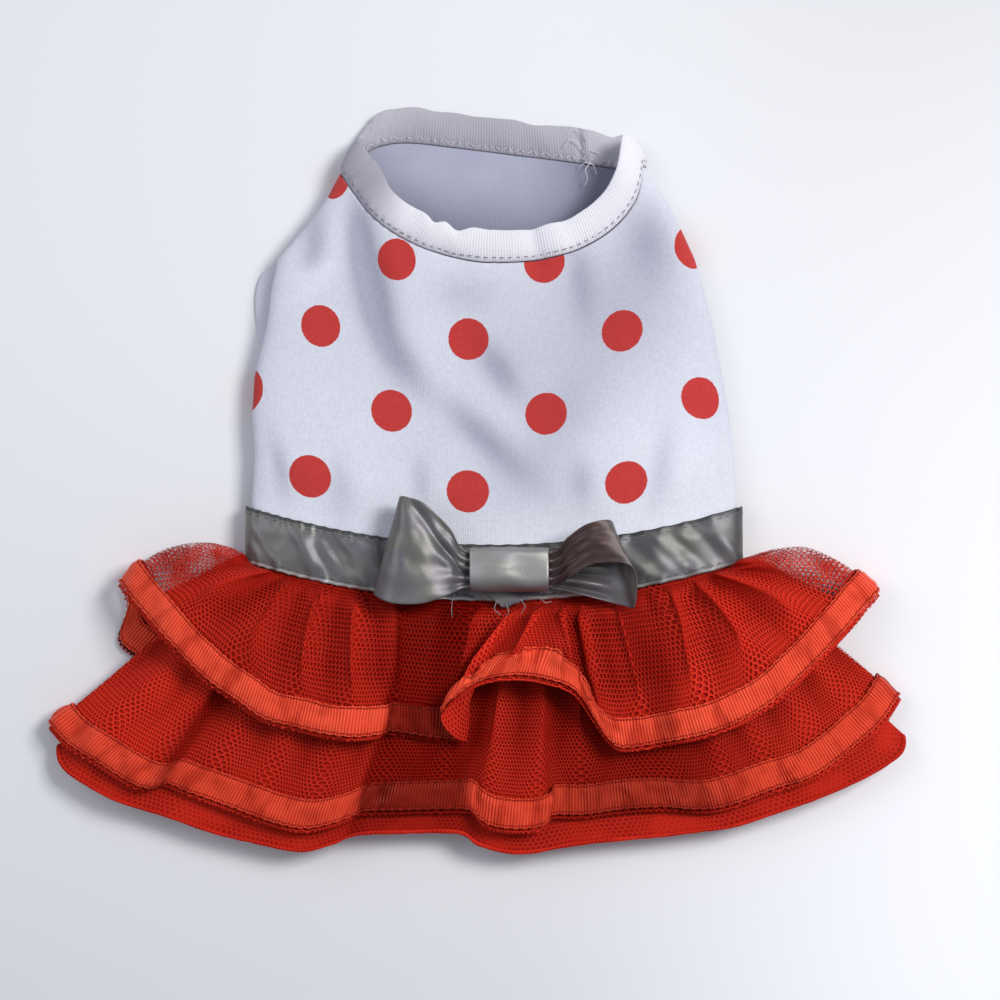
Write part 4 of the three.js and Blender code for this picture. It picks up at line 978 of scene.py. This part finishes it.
# Dark red behind the net's cells: the further layers, with painted shade among them.
deep_red = (0.34, 0.010, 0.006)
ruffle_net = net_material("ruffle net", 1.45 * MM, 0.16 * MM, strand_bright, strand_dark)
close_net = net_material("lower ruffle net", 1.2 * MM, 0.15 * MM, strand_bright, strand_dark)
upper_layers = net_material("upper ruffle net in layers", 1.1 * MM, 0.16 * MM, (0.68, 0.026, 0.013),
                            (0.52, 0.017, 0.009), deep_red, 86 * MM, -17 * MM)
lower_layers = net_material("lower ruffle net in layers", 0.95 * MM, 0.15 * MM, (0.68, 0.026, 0.013),
                            (0.56, 0.018, 0.010), (0.42, 0.013, 0.007), 128 * MM, -45 * MM)
skirt_net = net_material("underskirt net", 1.3 * MM, 0.16 * MM, (0.74, 0.036, 0.018),
                         (0.54, 0.019, 0.010), deep_red, 1.0)
net_sheet("net_upper_ruffle", upper, 760, 46, ruffle_net, "upper_ruffle", seed=3)
net_sheet("net_upper_ruffle_inner", upper, 600, 36, upper_layers, "upper_ruffle", 1.0 * MM, 3)
net_sheet("net_lower_ruffle", lower, 760, 46, close_net, "lower_ruffle", seed=31)
net_sheet("net_lower_ruffle_inner", lower, 600, 36, lower_layers, "lower_ruffle", 0.7 * MM, 31)
net_sheet("net_underskirt", under, 700, 44, skirt_net, "underskirt", seed=57)


def hem_points(turn, section):
    """The underskirt's turned hem: a thin roll round the hem's line."""
    at = np.interp(turn, np.linspace(0, 1, 1201), np.append(under.even_places(1200)[0], len(under.rows)))
    line = under.hem(at)
    inner = unit(np.stack([-line[..., 0], waist_seam(0) - line[..., 1], 0 * at], -1))
    angle = 2 * np.pi * section
    up = np.array([0, 0, 1.0])
    roll = 0.75 * MM + 0.12 * MM * soft_noise(line[..., 0], line[..., 1], 3 * MM, 61)
    return line - (inner * np.cos(angle)[..., None] - up * np.sin(angle)[..., None]) * roll[..., None]


hem_roll, _ = ring_cloth("net_underskirt_hem", hem_points, 700, 9)
hem_roll.data.materials.append(skirt_net)
keep_piece(hem_roll, "underskirt")

# Grosgrain ribbons
# Orange-red ribbon with strong cross ribs, sewn outside each ruffle's hem along both of its
# edges, which puckers it a little between the stitches.


def ribbon_sheet(tier, columns, lines, seed, bumpy, turned):
    """Points of a ribbon: on the net's last stretch, offset outwards by the cross of the
    hem's direction and the net's, with a puckered edge and small bulges. Where turned is
    1, it is twisted to the net's other side over the last three rows of the hem. Nowhere
    does it lie below the table. Its painted shade is the net's above 0.3, squared."""
    places, length = tier.even_places(columns)
    cloth = np.arange(columns) / columns * length
    near, far = (tier.sheet(places, cloth, np.full(columns, f))[0] for f in (0.8, 1.0))
    long = np.linalg.norm(far - near, axis=-1) / 0.2
    share = np.linspace(0, 1, lines)
    top, end = 1 - (ribbon_length + fringe_length) / long, 1 - fringe_length / long
    down = top[:, None] + (end - top)[:, None] * share
    at = places[:, None] + 0 * down
    run = cloth[:, None] + 0 * down
    points, shade = tier.sheet(at, run, down)
    shade = np.maximum(0, (shade - 0.3) / 0.7) ** 2
    normal = unit(np.cross(np.gradient(points, axis=1), turning(points)))
    pucker = np.sin(2 * np.pi * run / (3.1 * MM) + 1.5 * soft_noise(run, 0 * run, 20 * MM, seed))
    edges = hump(share, 0.1, 0.09) + hump(share, 0.9, 0.09)
    bulge = bumpy * (soft_noise(run, 8 * share * MM, 8 * MM, seed + 1)
                     + 0.4 * soft_noise(run, 8 * share * MM, 3.5 * MM, seed + 2))
    lift = (1.4 + bulge * (0.35 + np.sin(np.pi * share)) - 0.35 * edges + 0.16 * pucker * edges) * MM
    back = len(tier.rows) - at
    lift *= 1 - 2 * turned * ease(back, 0.15, 0.6) * (1 - ease(back, 2.9, 3.4))
    points = points + normal * lift[..., None]
    over = unit(np.gradient(points, axis=1))
    scallop = 0.16 * MM * pucker * np.where(share < 0.5, -1, 1) * np.abs(2 * share - 1) ** 3
    points = points + over * scallop[..., None]
    points[..., 2] = np.maximum(points[..., 2], 0.5 * MM)
    return points, normal, cloth, length, shade


def grosgrain(name, bright, dark):
    """Grosgrain: ribs across the ribbon as a rounded wave along its u, with painted shade
    between them, a painted shadow in the groove along the stitches near both edges, and
    patches of painted shade."""
    n = Nodes(name)
    u, v, _ = n.split(n.uv())
    wander = n.math("MULTIPLY", n.noise(n.uv(), 200.0), 0.35 * MM)
    wave = n.math("SINE", n.math("MULTIPLY", n.math("ADD", u, wander), 2 * np.pi / (1.05 * MM)))
    fine = n.math("SINE", n.math("MULTIPLY", v, 2 * np.pi / (0.3 * MM)))
    cloud = n.noise(n.place(), 110.0, 3.0)
    share = n.math("MULTIPLY_ADD", wave, 0.5, n.math("MULTIPLY_ADD", cloud, 0.9, 0.12))
    color = n.blend(share, dark, bright)
    off_middle = n.math("ABSOLUTE", n.math("SUBTRACT", v, ribbon_length / 2))
    off_stitches = n.math("ABSOLUTE", n.math("SUBTRACT", off_middle, 4.2 * MM))
    seam = n.ramp(off_stitches, 0.42 * MM, 0.15 * MM)
    # Painted shadow in the groove along each stitch line.
    color = n.blend(n.math("MULTIPLY", seam, 0.7), color, (0.26, 0.010, 0.006))
    # Patches of painted shade, for the ribbon's small twists and bulges.
    painted_shade_patch = n.ramp(n.noise(n.join(u, n.math("MULTIPLY", v, 0.4)), 150.0, 1.0), 0.48, 0.66)
    color = n.blend(painted_shade_patch, color, n.vector("MULTIPLY", color, (0.72, 0.55, 0.55)))
    # Painted shade from the mesh's shade.
    color = n.blend(n.shade(), color, n.vector("MULTIPLY", color, (0.23, 0.10, 0.10)))
    height = n.math("MULTIPLY_ADD", seam, -1.2, n.math("MULTIPLY_ADD", fine, 0.06, wave))
    return n.finish(color, n.bump(height, 0.24 * MM, 0.65), Roughness=0.36, Specular_IOR_Level=0.4,
                    Specular_Tint=(1, 0.25, 0.16, 1))


upper_cloth = grosgrain("upper grosgrain", (1.0, 0.108, 0.050), (0.66, 0.038, 0.017))
# The lower ribbon is the same grosgrain, painted darker for the shade of the net over it.
lower_cloth_in_shade = grosgrain("lower grosgrain in painted shade", (0.88, 0.080, 0.036), (0.54, 0.030, 0.014))
red_thread = thread_material("red thread", (0.34, 0.014, 0.009))
ribbon_columns, ribbon_lines = 1100, 15
ribbon_down = ribbon_length * np.linspace(0, 1, ribbon_lines)
for tier, name, ribbon_cloth, seed, bumpy, turned in (
        (upper, "upper", upper_cloth, 71, 0.7, 1), (lower, "lower", lower_cloth_in_shade, 83, 1.1, 0)):
    points, normal, cloth, length, shade = ribbon_sheet(tier, ribbon_columns, ribbon_lines, seed,
                                                        bumpy, turned)
    uv = np.stack(np.meshgrid(np.append(cloth, length), ribbon_down, indexing="ij"), -1)
    ribbon = cloth_mesh("grosgrain_" + name + "_ribbon", points[:, ::-1], uv[:, ::-1], True)
    ribbon.data.materials.append(ribbon_cloth)
    shade_points(ribbon, shade[:, ::-1])
    thicken(ribbon, 0.4 * MM, 1)
    keep_piece(ribbon, name + "_ribbon")
    for row, line in enumerate((1, 13)):
        path, up = closed(points[:, line]), closed(normal[:, line])
        stitches = stitch_row(f"{name}_ribbon_stitches_{row}", path + 0.25 * MM * up, up,
                              2.3 * MM, 0.6 * MM, 0.24 * MM, red_thread)
        keep_piece(stitches, name + "_ribbon")

# Bow
# Grey satin ribbon folded into two loops that are pinched at the middle, a wrap round the
# middle, and a frayed end of the same ribbon under it.
bow_across, bow_along = 5 * MM, -22.1 * MM
bow_span, bow_ribbon, bow_rise = 89 * MM, 38 * MM, 11 * MM
knot_length, knot_height = 26 * MM, 15.6 * MM
tail_base = waist_height + 0.35 * MM
loop_base = tail_base + 2.7 * MM

# The ribbon's course, from the knot over the left loop and back over the right one: the
# places of its upper and lower edge, across and along, as shares of half of bow_span and of
# bow_ribbon, and its lift as a share of bow_rise.
bow_course = np.array([
    (0.00, 0.31, 0.00, -0.31, 0.45), (-0.32, 0.32, -0.32, -0.32, 0.46),
    (-0.44, 0.72, -0.46, -0.46, 0.72), (-0.62, 1.12, -0.66, -0.60, 0.94),
    (-0.76, 1.25, -0.88, -0.58, 0.92), (-0.81, 1.25, -1.00, -0.43, 0.55),
    (-0.76, 1.18, -0.92, -0.50, 0.20), (-0.50, 0.80, -0.54, -0.46, 0.12),
    (-0.32, 0.32, -0.32, -0.32, 0.16),
    (0.00, 0.31, 0.00, -0.31, 0.16), (0.32, 0.32, 0.32, -0.32, 0.16), (0.50, 0.56, 0.52, -0.42, 0.12),
    (0.70, 0.72, 0.84, -0.62, 0.22), (0.77, 0.78, 0.93, -0.62, 0.50), (0.72, 0.85, 0.91, 0.02, 0.86),
    (0.57, 0.77, 0.65, 0.10, 0.94), (0.44, 0.56, 0.47, -0.10, 0.76), (0.32, 0.32, 0.32, -0.30, 0.46)])


def bow_points(turn, share):
    """The loops' ribbon: between its two edges, with pleats that fan out from the knot as
    a cosine across the ribbon, and a soft crease over the left loop. The pleats are deepest
    where they are hidden, inside the knot and on the underside near it."""
    at = turn * len(bow_course)
    top_x, top_y, low_x, low_y, lift = (read_round(bow_course[:, k], at) for k in range(5))
    x = low_x + (top_x - low_x) * share
    y = low_y + (top_y - low_y) * share
    pinch = np.exp(-np.maximum(np.abs(x) - 0.28, 0) / 0.22)
    hidden = np.maximum(1 - ease(np.abs(x), 0.27, 0.34),
                        (1 - ease(lift, 0.22, 0.42)) * (1 - ease(np.abs(x), 0.50, 0.85)))
    depth = np.maximum(0.65 * pinch, 1.6 * hidden)
    fan = np.cos(2 * np.pi * (4.0 * share + 0.1 * np.tanh(x / 0.2))) * depth
    upper_side = (lift > 0.4).astype(float)
    crease = hump(x + 0.75 * (share - 0.4), -0.30, 0.07) * ease(share, 0.25, 0.5)
    rough = soft_noise(90 * MM * x, 40 * MM * y, 16 * MM, 91) * 0.7
    rough += soft_noise(90 * MM * x, 40 * MM * y, 6 * MM, 92) * 0.08
    z = loop_base + 0.5 * MM + (lift - 0.12) * bow_rise + (fan - 1.5 * crease * upper_side + rough) * MM
    return np.stack([bow_across + x * bow_span / 2, bow_along + y * bow_ribbon / 2, z], -1)


# In painted shade the bow's satin nears dark red, a painted reflection of the red net.
bow_satin = satin("bow satin", (0.08, 0.08, 0.083), (0.22, 0.22, 0.225), (0.15, 0.13, 0.175), 0.35,
                  shaded=(0.05, 0.016, 0.013))
loop_columns, loop_lines = 340, 60
loops, _ = ring_cloth("satin_bow_loops", lambda t, s: bow_points(t, s)[:, ::-1], loop_columns,
                      loop_lines)
loops.data.materials.append(bow_satin)

# By the course's rows, painted shade: faint on the left loop, more on the right one, and
# most on its top, as a painted reflection of the red net.
row = np.arange(loop_columns) / loop_columns * len(bow_course)
top_shade = ease(row, 13.5, 15.0) * (1 - 0.7 * ease(row, 16.5, 17.3))
loop_shade = np.where(row < 8, 0.08, top_shade + 0.22 * ease(row, 10.0, 11.0))
shade_points(loops, np.repeat(np.clip(loop_shade, 0, 1), loop_lines))
thicken(loops, 0.4 * MM, 0)
keep_piece(loops, "bow_loops")


def knot_points(turn, share):
    """The wrap: a ring round the loops' middle, a superellipse whose upper half rises as
    a plain sine, with pleats along it."""
    angle = 2 * np.pi * turn
    c, s = np.cos(angle), np.sin(angle)
    side_power = 2 / 2.6
    flat = np.where(s > 0, 1.0, side_power)
    half = 0.5 * (0.46 * bow_rise + 3.7 * MM)
    pleat = 0.35 * MM * np.sin(4 * angle + 0.8 * np.sin(2 * np.pi * share)) * (s > 0)
    edge = 0.3 * MM * np.abs(2 * share - 1) ** 4
    y = bow_along + signed_power(c, side_power) * (knot_height / 2 - 0.5 * MM - edge)
    z = tail_base + 1.85 * MM + half * (1 + signed_power(s, flat)) + pleat - edge * s
    return np.stack([bow_across + (share - 0.5) * knot_length + 0 * angle, y, z], -1)


# The wrap is the same satin as the loops, painted lighter for the sheen it catches.
knot_satin_painted_sheen = satin("knot satin with painted sheen", (0.22, 0.22, 0.222), (0.50, 0.50, 0.50), (0.36, 0.33, 0.38), 0.2)
knot_columns, knot_lines = 160, 40
knot, _ = ring_cloth("satin_bow_knot", knot_points, knot_columns, knot_lines)
knot.data.materials.append(knot_satin_painted_sheen)

# Painted shade on the wrap where it turns down, more at its lower edge than at its upper one.
upward = np.cos(2 * np.pi * np.arange(knot_columns) / knot_columns)
knot_shade = 0.6 * ease(-upward, -0.1, 0.9) + 0.35 * ease(upward, 0.7, 1)
shade_points(knot, np.repeat(knot_shade, knot_lines))
thicken(knot, 0.4 * MM, -1)
keep_piece(knot, "bow_knot")

# The ribbon's end: its edge's place across as a share of the width, and how far it hangs
# below the knot's middle as a share of the drop.
tail_width, tail_drop = 30 * MM, 12.6 * MM
tail_columns, tail_lines = 120, 40
tail_edge = np.array([(-0.50, 0.55), (-0.36, 0.75), (-0.20, 0.72), (-0.06, 1.00), (0.10, 0.86),
                      (0.28, 0.62), (0.50, 0.58)])
across, share = np.meshgrid(np.linspace(-0.5, 0.5, tail_columns),
                            np.linspace(0, 1, tail_lines), indexing="ij")
frayed = np.interp(across, tail_edge[:, 0], tail_edge[:, 1]) * tail_drop
frayed += 0.5 * MM * np.random.default_rng(7).uniform(-1, 1, tail_columns)[:, None]
tail_y = bow_along + knot_height / 4 - share * (knot_height / 4 + frayed)
tail_z = tail_base + (0.9 + 0.8 * soft_noise(across * tail_width, tail_y, 4 * MM, 95) * share) * MM
tail_grid = np.stack([bow_across + across * tail_width, tail_y, tail_z], -1)
tail = cloth_mesh("satin_bow_tail", tail_grid[:, ::-1], tail_grid[:, ::-1, :2], False)
tail.data.materials.append(bow_satin)
thicken(tail, 0.4 * MM, 0)
keep_piece(tail, "bow_tail")

# Frayed threads that hang from the ribbon's end, in millimetres from the waist's middle.
frayed_thread = thread_material("frayed satin thread", (0.34, 0.33, 0.35))
for k, line in enumerate((
        [(-13, -30, 19), (-14, -33, 19), (-14, -37, 18), (-13.5, -40, 17)],
        [(1, -32, 19), (0, -35, 19.5), (2, -37, 18)],
        [(4, -33, 19), (5, -36, 20), (3.5, -38, 18)],
        [(9, -32, 19), (10.5, -34, 20), (9, -36.5, 18)],
        [(15, -31, 19), (17, -33, 20), (19, -32.5, 18)])):
    keep_piece(tube(f"bow_frayed_thread_{k}", np.array(line) * MM, 0.13 * MM, frayed_thread),
               "bow_tail")

# Table, light and camera
# A pale table, wide soft light from the right, and a camera almost straight above.
table_mesh = bpy.data.meshes.new("table")
table_mesh.from_pydata([(-3, -3, 0), (3, -3, 0), (3, 3, 0), (-3, 3, 0)], [], [(0, 1, 2, 3)])
table = bpy.data.objects.new("table", table_mesh)
bpy.context.collection.objects.link(table)
view_half = 0.17


def table_finish():
    """The table's tone, with painted light and shade: a parabola and a slope along y, with a
    part at the right that pales below and darkens above, and a faint slow noise."""
    n = Nodes("pale table")
    x, y, _ = n.split(n.place())
    side = n.ramp(x, 0.0, view_half)
    rise = n.add("ShaderNodeMapRange", {0: y, 1: -view_half, 2: view_half, 3: -1.0, 4: 1.0}).outputs[0]
    tone = n.math("MULTIPLY_ADD", n.math("MULTIPLY", rise, rise), -0.04, 0.80)
    tone = n.math("MULTIPLY_ADD", rise, 0.03, tone)
    tone = n.math("MULTIPLY_ADD", side, n.math("MULTIPLY_ADD", rise, -0.165, 0.04), tone)
    tone = n.math("MULTIPLY_ADD", n.noise(n.place(), 3.0, 2.0), 0.03, tone)
    return n.finish(n.vector("SCALE", n.join(0.985, 0.995, 1.03), tone), Roughness=0.7)


table_mesh.materials.append(table_finish())


def soft_light(name, place, aim, size, power, color):
    """A square area light that faces a point."""
    data = bpy.data.lights.new(name, "AREA")
    data.size, data.energy, data.color = size, power, color
    lamp = bpy.data.objects.new(name, data)
    lamp.location = place
    lamp.rotation_euler = (Vector(aim) - Vector(place)).to_track_quat("-Z", "Y").to_euler()
    bpy.context.collection.objects.link(lamp)


soft_light("window", (0.66, 0.30, 0.95), (0.03, -0.02, 0), 0.42, 10.8, (1.0, 0.99, 0.97))
soft_light("sky", (-0.75, 0.35, 0.9), (0, 0, 0), 0.7, 3.0, (0.90, 0.94, 1.0))
world = bpy.data.worlds.new("room")
world.use_nodes = True
world.node_tree.nodes["Background"].inputs["Color"].default_value = (0.87, 0.90, 1.0, 1)
world.node_tree.nodes["Background"].inputs["Strength"].default_value = 0.36
bpy.context.scene.world = world
bpy.context.scene.view_settings.view_transform = "Standard"

camera_data = bpy.data.cameras.new("camera")
camera = bpy.data.objects.new("camera", camera_data)
camera_far, camera_tilt, view_width = 0.8, np.radians(86), 0.335
view_middle = Vector((dress_place[0] + 2.0 * MM, dress_place[1] + 1.7 * MM, 0.012))
camera.location = view_middle + camera_far * Vector((0, -np.cos(camera_tilt), np.sin(camera_tilt)))
camera.rotation_euler = (view_middle - camera.location).to_track_quat("-Z", "Y").to_euler()
camera_data.sensor_width = 36
camera_data.lens = camera_data.sensor_width * camera_far / view_width
bpy.context.collection.objects.link(camera)
bpy.context.scene.camera = camera
